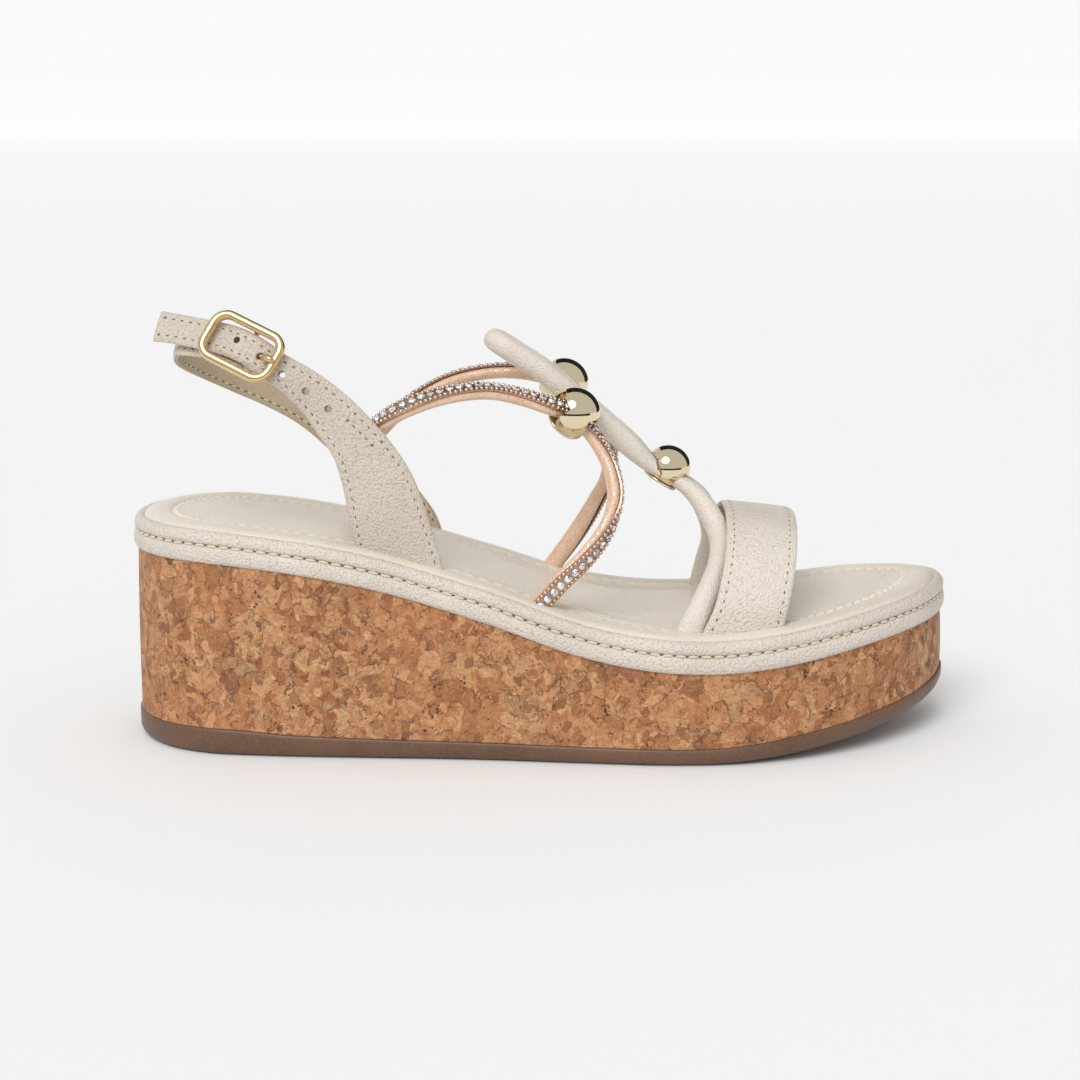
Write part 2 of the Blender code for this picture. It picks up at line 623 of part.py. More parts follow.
def make_ball(side, outer, centre, out, passages):
    """Hollow ball, cut off at its lower edge, over a round base plate; cords run between the two."""
    inner = outer - BALL_WALL
    outer_edge, inner_edge = math.asin(BALL_CUT / outer), math.asin(BALL_CUT / inner)
    profile = []
    for radius, edge, steps in ((outer, outer_edge, range(10)), (inner, inner_edge, range(9, -1, -1))):
        for step in steps:
            turn = math.radians(90) - (math.radians(90) + edge) * step / 9
            profile.append((radius * math.cos(turn), radius * math.sin(turn)))
    mesh = bpy.data.meshes.new(f"ball_cap_{side}")
    places = [(max(r, 0.0) * MM, 0.0, z * MM) for r, z in profile]
    places[0] = (0.0, 0.0, outer * MM)
    places[-1] = (0.0, 0.0, inner * MM)
    mesh.from_pydata(places, [(i, i + 1) for i in range(len(places) - 1)], [])
    mesh.materials.append(gold)
    cap = bpy.data.objects.new(f"ball_cap_{side}", mesh)
    parts.objects.link(cap)
    turn = facing(out, passages[0][0])
    cap.matrix_world = Matrix.Translation(Vector(centre) * MM) @ turn.to_4x4()
    screw = cap.modifiers.new("Screw", "SCREW")
    screw.steps = screw.render_steps = 24
    screw.use_merge_vertices = True
    screw.merge_threshold = 0.00001
    for i, (passage, notch_width, notch_top) in enumerate(passages):
        way = facing(out, passage)
        middle = Vector(centre) + way @ Vector((6.0, 0.0, (notch_top - 6.0) / 2))
        cut(cap, box_cutter(f"ball_notch_{side}_{i}", middle, (12.0, notch_width, notch_top + 6.0), way))
    base = outer * math.cos(outer_edge) - BASE_INSET
    bm = bmesh.new()
    bmesh.ops.create_cone(
        bm, cap_ends=True, segments=24, radius1=base, radius2=base, depth=BASE_THICKNESS,
    )
    seat = Vector(centre) - turn.col[2] * (BALL_CUT + GAP + BASE_THICKNESS / 2)
    bmesh.ops.transform(bm, matrix=Matrix.Translation(seat) @ turn.to_4x4(), verts=bm.verts)
    add_object(f"ball_base_{side}", bm, gold, smooth_angle=40)


# ---------------------------------------------------------------- buckle


def place_on_bar(made):
    """Sets an object built in the buckle's own axes with its origin on the centre bar."""
    made.matrix_world = Matrix.Translation(BUCKLE_CENTRE * MM) @ buckle_axes.to_4x4()


def frame_path():
    """Rounded rectangle through the middle of the frame's wire."""
    straight_u = FRAME_HALF_LENGTH - FRAME_CORNER
    straight_v = FRAME_HALF_WIDTH - FRAME_CORNER
    path = []
    for corner, (cu, cv) in enumerate(((1, 1), (-1, 1), (-1, -1), (1, -1))):
        for step in range(7):
            turn = math.radians(90 * corner + 15 * step)
            path.append(Vector((
                cu * straight_u + FRAME_CORNER * math.cos(turn),
                cv * straight_v + FRAME_CORNER * math.sin(turn),
            )))
    return path


def make_buckle_frame():
    path = frame_path()
    half = FRAME_WIRE / 2
    soft = 0.6
    section = [  # across the wire, above the bar
        (-half, FRAME_LOW + 0.3), (-half + 0.3, FRAME_LOW), (half - 0.3, FRAME_LOW), (half, FRAME_LOW + 0.3),
        (half, FRAME_HIGH - soft), (half - soft, FRAME_HIGH), (soft - half, FRAME_HIGH), (-half, FRAME_HIGH - soft),
    ]
    bm = bmesh.new()
    loops = []
    for i, here in enumerate(path):
        run = (path[(i + 1) % len(path)] - path[i - 1]).normalized()
        side = Vector((run.y, -run.x))
        loops.append([bm.verts.new((*(here + side * s), h)) for s, h in section])
    for i, near in enumerate(loops):
        far = loops[(i + 1) % len(loops)]
        for k in range(len(section)):
            j = (k + 1) % len(section)
            bm.faces.new((near[k], near[j], far[j], far[k]))
    frame = add_object("buckle_frame", bm, gold, smooth_angle=40)
    place_on_bar(frame)
    post = FRAME_HALF_WIDTH
    staple = tube("centre_bar_tube", [
        (0.0, -post, FRAME_LOW + 1.2), (0.0, -post, 0.9), (0.0, 0.5 - post, 0.26), (0.0, 1.2 - post, 0.0),
        (0.0, post - 1.2, 0.0), (0.0, post - 0.5, 0.26), (0.0, post, 0.9), (0.0, post, FRAME_LOW + 1.2),
    ], BAR_RADIUS, gold, resolution=3)
    join_tube(frame, staple)


def join_tube(target, curve_object):
    """Unites a tube, built in the same axes, with the target."""
    view = bpy.context.evaluated_depsgraph_get()
    view.update()
    mesh = bpy.data.meshes.new_from_object(curve_object.evaluated_get(view))
    bm = bmesh.new()
    bm.from_mesh(mesh)
    bmesh.ops.remove_doubles(bm, verts=bm.verts, dist=0.000001)
    bm.to_mesh(mesh)
    bm.free()
    solid = bpy.data.objects.new(f"{curve_object.name}_solid", mesh)
    solid.matrix_world = target.matrix_world
    solid.hide_render = True
    solid.display_type = "WIRE"
    cutters_collection.objects.link(solid)
    bpy.data.objects.remove(curve_object)
    cut(target, solid, "UNION")


def make_prong():
    """Flat eye round the centre bar and a round shank through the strap onto the front bar."""
    eye_inner, eye_outer = BAR_RADIUS + 0.28, 1.95
    bm = bmesh.new()
    bmesh.ops.create_cone(bm, cap_ends=True, segments=24, radius1=eye_outer, radius2=eye_outer, depth=1.7)
    bmesh.ops.rotate(bm, cent=(0, 0, 0), matrix=Matrix.Rotation(math.pi / 2, 3, "X"), verts=bm.verts)
    prong = add_object("buckle_prong", bm, gold, smooth_angle=40)
    place_on_bar(prong)
    shank = tube("prong_shank", [
        (1.45, 0.0, -0.4), (2.8, 0.0, -0.55), (4.3, 0.0, -0.2), (5.5, 0.0, 0.7), (6.6, 0.0, 2.2),
        (7.7, 0.0, 4.2), (8.7, 0.0, 6.0), (9.8, 0.0, 6.85), (11.0, 0.0, 6.95), (12.0, 0.0, 6.9),
    ], PRONG_RADIUS, gold, resolution=3)
    join_tube(prong, shank)
    bm = bmesh.new()
    bmesh.ops.create_cone(bm, cap_ends=True, segments=24, radius1=eye_inner, radius2=eye_inner, depth=6.0)
    bmesh.ops.rotate(bm, cent=(0, 0, 0), matrix=Matrix.Rotation(math.pi / 2, 3, "X"), verts=bm.verts)
    matrix = Matrix.Translation(BUCKLE_CENTRE) @ buckle_axes.to_4x4()
    bmesh.ops.transform(bm, matrix=matrix, verts=bm.verts)
    cut(prong, cutter_object("prong_eye_cutter", bm))


# ---------------------------------------------------------------- the sandal

for old in list(bpy.data.objects):
    bpy.data.objects.remove(old)

parts = bpy.data.collections.new("wedge_sandal")
cutters_collection = bpy.data.collections.new("cutters")
bpy.context.scene.collection.children.link(parts)
bpy.context.scene.collection.children.link(cutters_collection)

rubber = material("outsole_rubber", (0.16, 0.085, 0.045), 0.62)
cork = material("cork", (0.55, 0.27, 0.11), 0.75)
foam = material("moulded_foam", (0.75, 0.70, 0.62), 0.9)
board = material("fibreboard", (0.42, 0.33, 0.24), 0.9)
leather = material("cream_leather", (0.74, 0.66, 0.57), 0.5)
lining_leather = material("tan_lining", (0.52, 0.41, 0.27), 0.6)
footbed_leather = material("pearl_footbed_leather", (0.82, 0.76, 0.68), 0.42)
suede = material("peach_suede", (0.78, 0.50, 0.34), 0.7)
stones = material("stone_trim", (0.72, 0.58, 0.48), 0.25, 0.3)
gold = material("pale_gold", (0.83, 0.66, 0.36), 0.2, 1.0)

u_axis = BUCKLE_ALONG.normalized()
w_axis = BUCKLE_ALONG.cross(BUCKLE_ACROSS).normalized()
buckle_axes = Matrix((u_axis, w_axis.cross(u_axis), w_axis)).transposed()
outline = platform_outline()

make_sole()
make_footbed()
make_toe_band()
make_quarters()
make_instep_cord()
make_stone_strap("lateral", LATERAL_STONE_CORD)
make_stone_strap("medial", MEDIAL_STONE_CORD)
make_ball("lateral", SIDE_BALL_RADIUS, (8.7, -14.8, 100.3), (0.56, -0.50, 0.66), [
    ((-0.86, -0.45, 0.22), 7.4, 4.4), ((0.64, -0.14, -0.76), 8.2, 4.4),
])
make_ball("medial", SIDE_BALL_RADIUS, (5.8, 14.6, 105.5), (0.44, 0.50, 0.75), [
    ((-0.95, 0.17, 0.27), 7.6, 3.2), ((0.67, 0.30, -0.68), 7.8, 3.4),
])
make_ball("toe", TOE_BALL_RADIUS, (37.3, 0.0, 81.4), (0.52, 0.0, 0.85), [
    ((0.85, 0.0, -0.52), 10.2, 1.3), ((-0.85, 0.0, 0.52), 10.2, 1.3),
])
make_closing_strap()
make_heel_band()
make_buckle_frame()
make_prong()
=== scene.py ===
"""Looks of the wedge sandal: cork platform, padded footbed, leather bands and cords, gold buckle and balls."""

import math

import bpy
import bmesh
from mathutils import Matrix, Vector


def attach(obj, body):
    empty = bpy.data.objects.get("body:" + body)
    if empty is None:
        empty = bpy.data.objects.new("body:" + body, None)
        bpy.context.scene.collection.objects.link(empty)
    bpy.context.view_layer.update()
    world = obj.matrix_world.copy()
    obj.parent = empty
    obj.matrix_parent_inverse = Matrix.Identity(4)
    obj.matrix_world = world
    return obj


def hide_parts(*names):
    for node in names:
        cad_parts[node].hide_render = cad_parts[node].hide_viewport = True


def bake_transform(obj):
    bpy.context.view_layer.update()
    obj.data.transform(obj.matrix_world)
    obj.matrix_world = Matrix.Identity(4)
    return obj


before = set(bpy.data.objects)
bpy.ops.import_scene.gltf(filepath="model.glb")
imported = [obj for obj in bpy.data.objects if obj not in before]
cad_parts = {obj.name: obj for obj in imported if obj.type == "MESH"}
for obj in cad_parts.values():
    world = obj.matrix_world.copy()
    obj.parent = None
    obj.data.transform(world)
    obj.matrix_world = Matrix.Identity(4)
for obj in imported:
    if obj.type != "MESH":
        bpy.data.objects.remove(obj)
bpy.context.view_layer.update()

MM = 0.001
SIDE_POINTS = 110

# ---------------------------------------------------------------- the sandal's lines, in millimetres

LATERAL = [
    (-124.2, 0.6), (-121.4, -12.6), (-113.2, -23.8), (-101.0, -30.6), (-84.0, -33.4), (-55.0, -35.4),
    (-20.0, -37.4), (10.0, -40.8), (38.0, -43.2), (60.0, -41.6), (82.0, -34.4), (101.0, -22.4),
    (115.0, -7.6), (122.6, 8.0), (124.6, 19.0),
]
MEDIAL = [
    (-124.2, 0.6), (-121.6, 13.8), (-113.6, 25.0), (-101.0, 31.8), (-84.0, 33.4), (-55.0, 31.4),
    (-25.0, 30.6), (0.0, 32.8), (28.0, 38.6), (55.0, 43.2), (82.0, 42.0), (104.0, 38.2),
    (117.6, 31.4), (123.2, 25.6), (124.6, 19.0),
]
DECK = [
    (-124.0, 58.8), (-92.0, 57.7), (-54.0, 52.1), (-17.0, 41.6), (8.0, 33.1), (29.0, 28.9),
    (50.0, 27.8), (72.0, 29.4), (100.0, 33.3), (124.0, 35.2),
]
SOLE_THICKNESS = [(-125.0, 8.2), (-92.0, 8.2), (-76.0, 7.1), (-50.0, 6.3), (10.0, 5.5), (45.0, 5.3), (90.0, 6.0)]

TOE_BAND = [
    ((45.6, -37.0, 37.0), (70.0, -33.0, 38.6)), ((49.2, -35.6, 46.0), (71.6, -32.8, 47.4)),
    ((52.0, -29.8, 55.4), (73.4, -28.8, 55.6)), ((53.8, -19.6, 63.2), (75.0, -18.6, 62.6)),
    ((54.4, -7.0, 68.2), (75.9, -7.0, 66.2)), ((54.3, 6.0, 69.2), (76.1, 5.0, 66.9)),
    ((54.0, 18.0, 66.4), (75.9, 17.6, 64.4)), ((53.4, 28.6, 59.6), (75.3, 27.6, 58.2)),
    ((52.4, 35.4, 49.6), (74.4, 34.4, 49.2)), ((51.6, 36.9, 37.2), (73.8, 36.4, 39.0)),
]
LATERAL_QUARTER = [
    ((-29.3, -31.0, 54.6), (-55.4, -29.7, 61.6)), ((-31.6, -31.0, 63.0), (-56.6, -30.0, 67.4)),
    ((-34.6, -31.0, 73.2), (-57.8, -30.3, 74.6)), ((-38.6, -31.0, 84.4), (-59.2, -30.6, 82.0)),
    ((-44.8, -31.0, 94.2), (-61.2, -30.9, 89.0)), ((-53.6, -31.0, 104.2), (-64.4, -31.0, 94.2)),
    ((-61.4, -31.5, 111.3), (-70.4, -31.5, 103.0)), ((-68.4, -32.2, 116.2), (-75.6, -33.4, 108.9)),
]
MEDIAL_QUARTER = [
    ((-32.0, 25.0, 55.2), (-59.6, 25.4, 62.6)), ((-34.6, 25.6, 62.0), (-60.8, 25.8, 67.4)),
    ((-40.6, 26.6, 70.4), (-62.6, 26.5, 73.0)), ((-48.4, 27.4, 81.0), (-65.6, 27.2, 79.2)),
    ((-57.6, 28.0, 91.0), (-70.2, 27.8, 84.0)),
]
HEEL_BAND = [
    ((-70.7, 27.9, 93.3), (0.68, 0.01, 0.73), 13.5), ((-77.6, 27.3, 97.2), (0.52, 0.0, 0.85), 11.4),
    ((-86.0, 25.8, 101.4), (0.46, -0.06, 0.89), 10.6), ((-96.0, 22.0, 106.4), (0.42, -0.12, 0.90), 10.5),
    ((-103.8, 15.2, 111.2), (0.36, -0.12, 0.92), 10.5), ((-108.6, 6.6, 115.2), (0.26, -0.06, 0.96), 10.5),
    ((-109.8, -3.0, 118.6), (0.20, 0.04, 0.98), 10.5), ((-107.6, -12.0, 121.4), (0.30, 0.16, 0.94), 10.5),
]
STRAP_IN_BUCKLE = [
    (11.3, -0.5, 1.2), (6.0, 0.2, 2.5), (0.0, 0.45, 3.35), (-6.0, 0.2, 2.5),
    (-11.3, -0.6, 1.3), (-16.0, -1.7, 0.9), (-22.0, -3.2, 0.5),
]
TAIL_CORNERS = ((-29.8, -0.4, 0.1), (-27.2, -9.7, 0.1))
INSTEP_CORD = [
    (42.4, -34.6, 38.6, 1.0), (44.8, -32.8, 43.6, 1.0), (48.8, -27.4, 51.0, 1.0), (52.0, -18.8, 57.6, 1.0),
    (52.4, -11.8, 62.2, 1.0), (49.6, -7.6, 68.4, 1.0), (46.0, -4.4, 73.2, 0.88), (42.0, -2.6, 76.6, 0.74),
    (36.4, -2.5, 80.0, 0.74), (30.9, -2.7, 83.6, 0.8), (26.4, -3.3, 87.8, 1.0), (20.2, -3.4, 93.4, 1.0),
    (6.8, -3.3, 104.7, 1.0), (-0.1, -3.3, 110.6, 1.0), (-7.6, -3.3, 115.6, 1.0), (-12.6, -2.9, 118.8, 1.0),
    (-15.2, 0.0, 120.4, 1.0),
    (-12.6, 2.9, 118.8, 1.0), (-7.6, 3.3, 115.6, 1.0), (-0.1, 3.3, 110.6, 1.0), (6.8, 3.3, 104.7, 1.0),
    (20.2, 3.4, 93.4, 1.0), (26.4, 3.3, 87.8, 1.0), (30.9, 2.7, 83.6, 0.8), (36.4, 2.5, 80.0, 0.74),
    (42.0, 2.6, 76.6, 0.74), (46.0, 4.6, 73.0, 0.88), (49.6, 9.6, 66.8, 1.0), (51.8, 16.6, 60.4, 1.0),
    (52.6, 23.6, 53.6, 1.0), (51.6, 29.2, 46.0, 1.0), (50.6, 31.6, 38.6, 1.0),
]
STONE_STRAPS = {
    "lateral": [
        ((-56.6, -25.8, 90.4), (-0.60, -0.10, 0.78)), ((-52.0, -25.7, 95.2), (-0.55, -0.10, 0.83)),
        ((-47.5, -26.6, 98.6), (-0.40, -0.40, 0.80)), ((-42.8, -27.8, 101.8), (-0.20, -0.60, 0.78)),
        ((-34.1, -26.9, 105.2), (-0.05, -0.48, 0.87)), ((-24.8, -25.3, 107.1), (0.00, -0.30, 0.95)),
        ((-16.2, -22.6, 107.2), (0.10, -0.20, 0.97)), ((-7.5, -19.9, 105.2), (0.25, -0.25, 0.93)),
        ((2.1, -17.4, 101.9), (0.42, -0.42, 0.80)), ((5.3, -15.5, 100.8), (0.50, -0.48, 0.72)),
        ((8.3, -13.8, 99.6), (0.56, -0.46, 0.68)), ((10.6, -14.1, 97.0), (0.64, -0.34, 0.68)),
        ((13.0, -14.7, 94.2), (0.70, -0.16, 0.69)), ((16.6, -16.4, 88.8), (0.84, 0.10, 0.52)),
        ((19.4, -19.4, 82.4), (0.93, 0.22, 0.28)), ((20.0, -23.5, 75.6), (0.97, 0.10, -0.18)),
        ((17.8, -27.0, 68.8), (0.84, -0.40, -0.30)), ((11.4, -30.3, 60.0), (0.52, -0.82, -0.20)),
        ((4.8, -31.8, 53.4), (0.35, -0.93, 0.00)), ((-1.4, -32.2, 46.6), (0.25, -0.96, 0.00)),
    ],
    "medial": [
        ((-55.0, 23.6, 84.6), (-0.65, 0.10, 0.75)), ((-50.8, 23.9, 89.4), (-0.60, 0.10, 0.78)),
        ((-45.6, 24.0, 94.6), (-0.50, 0.12, 0.85)), ((-39.3, 23.8, 99.4), (-0.34, 0.15, 0.92)),
        ((-29.7, 22.0, 104.6), (-0.16, 0.18, 0.96)), ((-20.2, 19.4, 107.4), (-0.04, 0.20, 0.97)),
        ((-9.6, 16.6, 108.3), (0.12, 0.28, 0.94)), ((-1.0, 15.0, 107.2), (0.30, 0.44, 0.84)),
        ((2.4, 14.2, 106.3), (0.40, 0.49, 0.78)), ((5.7, 14.0, 104.7), (0.44, 0.48, 0.76)),
        ((8.3, 15.4, 102.4), (0.52, 0.38, 0.76)), ((11.0, 16.7, 99.6), (0.62, 0.24, 0.74)),
        ((16.6, 18.2, 91.8), (0.80, -0.02, 0.60)), ((19.8, 20.6, 83.4), (0.92, -0.10, 0.36)),
        ((19.2, 23.6, 74.2), (0.97, 0.10, -0.14)), ((15.4, 25.6, 66.0), (0.84, 0.46, -0.26)),
        ((9.0, 26.6, 54.8), (0.50, 0.84, -0.20)), ((3.0, 26.6, 46.2), (0.35, 0.93, 0.00)),
    ],
}
BALLS = {  # radius, centre, outward direction, and each cord's way out: direction, notch width, notch top
    "lateral": (7.6, (8.7, -14.8, 100.3), (0.56, -0.50, 0.66), [
        ((-0.86, -0.45, 0.22), 7.4, 4.4), ((0.64, -0.14, -0.76), 8.2, 4.4)]),
    "medial": (7.6, (5.8, 14.6, 105.5), (0.44, 0.50, 0.75), [
        ((-0.95, 0.17, 0.27), 7.6, 3.2), ((0.67, 0.30, -0.68), 7.8, 3.4)]),
    "toe": (6.9, (37.3, 0.0, 81.4), (0.52, 0.0, 0.85), [
        ((0.85, 0.0, -0.52), 10.2, 1.3), ((-0.85, 0.0, 0.52), 10.2, 1.3)]),
}
BUCKLE_CENTRE = Vector((-86.2, -27.6, 119.8))
BUCKLE_ALONG = Vector((0.853, -0.367, -0.370))
BUCKLE_ACROSS = Vector((0.487, 0.307, 0.818))
STRAP_WIDTH = 9.5
FOLD_RADIUS = 2.15

# ---------------------------------------------------------------- curves


def tangent_at(before, here, after):
    back = (here - before).length
    ahead = (after - here).length
    if back == 0:
        return (after - here) / ahead
    if ahead == 0:
        return (here - before) / back
    return ((here - before) / back * ahead + (after - here) / ahead * back) / (back + ahead)


def fine_curve(knots, first, last, closed=False, steps=24):
    """Dense points on the smooth curve through the knots."""
    def knot(i):
        if closed:
            return knots[i % len(knots)]
        return knots[min(max(i, 0), len(knots) - 1)]

    points = []
    for i in range(first, last):
        start, end = knot(i), knot(i + 1)
        span = (end - start).length
        leave = tangent_at(knot(i - 1), start, end) * span
        arrive = tangent_at(start, end, knot(i + 2)) * span
        for k in range(steps):
            t = k / steps
            points.append(
                start * (2 * t**3 - 3 * t**2 + 1)
                + leave * (t**3 - 2 * t**2 + t)
                + end * (3 * t**2 - 2 * t**3)
                + arrive * (t**3 - t**2)
            )
    points.append(knot(last).copy())
    return points


def spread_evenly(points, count):
    lengths = [0.0]
    for a, b in zip(points, points[1:]):
        lengths.append(lengths[-1] + (b - a).length)
    spread = []
    j = 0
    for i in range(count):
        target = lengths[-1] * i / (count - 1)
        while j < len(points) - 2 and lengths[j + 1] < target:
            j += 1
        part = (target - lengths[j]) / max(lengths[j + 1] - lengths[j], 1e-9)
        spread.append(points[j].lerp(points[j + 1], min(max(part, 0.0), 1.0)))
    return spread


def smooth(knots, count):
    vectors = [Vector(k) for k in knots]
    return spread_evenly(fine_curve(vectors, 0, len(vectors) - 1), count)


def length_of(points):
    return sum((b - a).length for a, b in zip(points, points[1:]))


def level(table, x):
    """Height at x on the smooth profile through the table's points."""
    if x <= table[0][0]:
        return table[0][1]
    if x >= table[-1][0]:
        return table[-1][1]
    i = max(k for k in range(len(table) - 1) if table[k][0] <= x)

    def slope(k):
        if k == 0 or k == len(table) - 1:
            return 0.0
        return (table[k + 1][1] - table[k - 1][1]) / (table[k + 1][0] - table[k - 1][0])

    width = table[i + 1][0] - table[i][0]
    t = (x - table[i][0]) / width
    return (
        table[i][1] * (2 * t**3 - 3 * t**2 + 1)
        + slope(i) * width * (t**3 - 2 * t**2 + t)
        + table[i + 1][1] * (3 * t**2 - 2 * t**3)
        + slope(i + 1) * width * (t**3 - t**2)
    )


def deck(x):
    return level(DECK, x)


def ground_side(x):
    return 0.0095 * max(x - 45.0, 0.0) ** 1.6


def sole_top(x):
    return ground_side(x) + level(SOLE_THICKNESS, x)


def make_outline(count):
    knots = [Vector(p) for p in LATERAL + MEDIAL[-2:0:-1]]
    toe = len(LATERAL) - 1
    lateral = spread_evenly(fine_curve(knots, 0, toe, closed=True), count + 1)
    medial = spread_evenly(fine_curve(knots, toe, len(knots), closed=True), count + 1)
    return lateral[:-1] + medial[:-1]


def ring(inset, height, line=None):
    """The outline moved inwards by inset, at the height that height(x) gives."""
    line = line or outline
    points = []
    for i, here in enumerate(line):
        before, after = line[i - 1], line[(i + 1) % len(line)]
        run = (after - before).normalized()
        moved = here + Vector((-run.y, run.x)) * inset
        points.append(Vector((moved.x, moved.y, height(moved.x))))
    return points


# ---------------------------------------------------------------- modelling helpers


def select_only(obj):
    bpy.ops.object.select_all(action="DESELECT")
    obj.select_set(True)
    bpy.context.view_layer.objects.active = obj


def begin(primitive, **settings):
    """A new primitive, with nothing else selected."""
    bpy.ops.object.select_all(action="DESELECT")
    primitive(**settings)
    return bpy.context.object


def lay(obj, matrix):
    """Moves a mesh's points by a matrix that is in millimetres."""
    for vertex in obj.data.vertices:
        vertex.co = (matrix @ vertex.co) * MM


def soften(obj, name, width, segments):
    edge = obj.modifiers.new(name, "BEVEL")
    edge.width = width
    edge.segments = segments
    return edge


def cut_away(obj, tool, name):
    """Cuts the tool's shape out of a piece, and removes the tool."""
    cut = obj.modifiers.new(name, "BOOLEAN")
    cut.solver = "EXACT"
    cut.object = tool
    apply_modifiers(obj)
    bpy.data.objects.remove(tool)


def circle_mesh(count, radius):
    """A circle and its open mesh with the points in order."""
    obj = begin(bpy.ops.mesh.primitive_circle_add, vertices=count, radius=radius)
    bm = bmesh.new()
    bm.from_mesh(obj.data)
    bm.verts.ensure_lookup_table()
    return obj, bm


def close_mesh(obj, bm):
    bm.to_mesh(obj.data)
    bm.free()
    faces_out(obj)


def ladder(bm, loop):
    """Closes a ring that is symmetrical end to end with faces from side to side."""
    count, half = len(loop), len(loop) // 2
    bm.faces.new((loop[0], loop[1], loop[count - 1]))
    for i in range(1, half - 1):
        bm.faces.new((loop[i], loop[i + 1], loop[count - i - 1], loop[count - i]))
    bm.faces.new((loop[half - 1], loop[half], loop[half + 1]))


def skin(bm, near_loops, far_loops):
    """Faces between each ring and the next one."""
    for near, far in zip(near_loops, far_loops):
        count = len(near)
        for k in range(count):
            j = (k + 1) % count
            bm.faces.new((near[k], near[j], far[j], far[k]))


def apply_modifiers(obj):
    select_only(obj)
    for modifier in list(obj.modifiers):
        bpy.ops.object.modifier_apply(modifier=modifier.name)


def settle(obj):
    """Puts a finished piece's place in its mesh, with the object itself at the origin."""
    apply_modifiers(obj)
    obj.data.transform(obj.matrix_world)
    obj.matrix_world = Matrix.Identity(4)
    return obj


def faces_out(obj):
    select_only(obj)
    bpy.ops.object.mode_set(mode="EDIT")
    bpy.ops.mesh.select_all(action="SELECT")
    bpy.ops.mesh.remove_doubles(threshold=0.000002)
    bpy.ops.mesh.normals_make_consistent(inside=False)
    bpy.ops.object.mode_set(mode="OBJECT")


def rounded(obj, angle=40):
    select_only(obj)
    bpy.ops.object.shade_smooth_by_angle(angle=math.radians(angle))


def finish_piece(obj, name, finish, goes, stands_for=()):
    """Names a piece, gives it its material and slot, and puts it on its body; a strap piece only has its place baked
    into its mesh.
    """
    obj.name = name
    obj.data.name = name
    obj.data.materials.clear()
    obj.data.materials.append(finish)
    if goes == "closing strap":
        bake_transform(obj)
    elif goes == "heel strap":
        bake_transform(obj)
    else:
        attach(obj, goes)
    if stands_for:
        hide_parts(*stands_for)
    return obj


def outline_shell(rings, hollow=False):
    """A circle laid on the first ring, extruded from ring to ring and closed."""
    count = len(rings[0])
    obj, bm = circle_mesh(count, 0.1)
    loop = first = list(bm.verts)
    for vertex, place in zip(loop, rings[0]):
        vertex.co = place * MM
    for places in rings[1:]:
        made = bmesh.ops.extrude_edge_only(bm, edges=[
            bm.edges.get((loop[i], loop[(i + 1) % count])) for i in range(count)])["geom"]
        fresh = [v for v in made if isinstance(v, bmesh.types.BMVert)]
        partner = {}
        for v in fresh:
            for edge in v.link_edges:
                other = edge.other_vert(v)
                if other not in fresh:
                    partner[other] = v
        loop = [partner[v] for v in loop]
        for vertex, place in zip(loop, places):
            vertex.co = place * MM
    if hollow:
        skin(bm, [loop], [first])
    else:
        for end in (first, loop):
            ladder(bm, end)
    close_mesh(obj, bm)
    return obj


def grid_sheet(along, across, place):
    """A grid whose points are laid at place(s, t), s along and t across, both 0 to 1."""
    obj = begin(bpy.ops.mesh.primitive_grid_add, x_subdivisions=along, y_subdivisions=across, size=1.0)
    for vertex in obj.data.vertices:
        vertex.co = place(vertex.co.x + 0.5, vertex.co.y + 0.5) * MM
    return obj


def face_like(obj, direction, at):
    """Turn the sheet's faces to the given direction, judged at the face nearest to a point."""
    spot = at * MM
    near = min(obj.data.polygons, key=lambda face: (face.center - spot).length)
    if near.normal.dot(direction) < 0.0:
        obj.data.flip_normals()


class Band:
    """A strap between two edge lines: gives places on it, along s, across t, and off its middle by h."""

    def __init__(self, pairs, outward, count=400):
        knots = [Vector((*a, *b)) for a, b in pairs]
        self.rows = smooth(knots, count)
        self.outward = outward
        centres = [(Vector(r[:3]) + Vector(r[3:])) / 2 for r in self.rows]
        self.length = length_of(centres)
        self.normals = []
        for i, row in enumerate(self.rows):
            run = centres[min(i + 1, count - 1)] - centres[max(i - 1, 0)]
            self.normals.append((Vector(row[:3]) - Vector(row[3:])).cross(run).normalized() * outward)

    def at(self, s, t, h=0.0):
        spot = min(max(s, 0.0), 1.0) * (len(self.rows) - 1)
        i = min(int(spot), len(self.rows) - 2)
        part = spot - i
        row = self.rows[i].lerp(self.rows[i + 1], part)
        out = self.normals[i].lerp(self.normals[i + 1], part).normalized()
        return Vector(row[:3]).lerp(Vector(row[3:]), t) + out * h

    def width(self, s):
        return (self.at(s, 0.0) - self.at(s, 1.0)).length


def turned_edge(band, s, t, base, crown, roll=1.7):
    """Height of a strap's turned-edge leather at a spot: a soft crown that rolls down at both edges."""
    width = band.width(s)
    edge = min(t, 1.0 - t) * width
    rise = base + crown * min(edge / (width / 2), 1.0) ** 0.6
    if edge < roll:
        k = 1.0 - edge / roll
        rise -= 0.75 * (1.0 - math.sqrt(max(1.0 - k * k, 0.0)))
    valley = abs(edge - 2.15)
    if valley < 0.9:
        rise -= 0.16 * (1.0 - valley / 0.9) ** 2
    return rise


def leather_band(band, along, across, base, crown, thickness):
    """Upper leather of a strap with turned, stitched-down edges, as one closed sheet."""
    def place(s, t):
        t = 0.5 - 0.5 * math.cos(math.pi * t)
        return band.at(s, t, turned_edge(band, s, t, base, crown))

    obj = grid_sheet(along, across, place)
    face_like(obj, band.at(0.3, 0.5, 1.0) - band.at(0.3, 0.5, 0.0), band.at(0.3, 0.5, base))
    return close_sheet(obj, thickness)


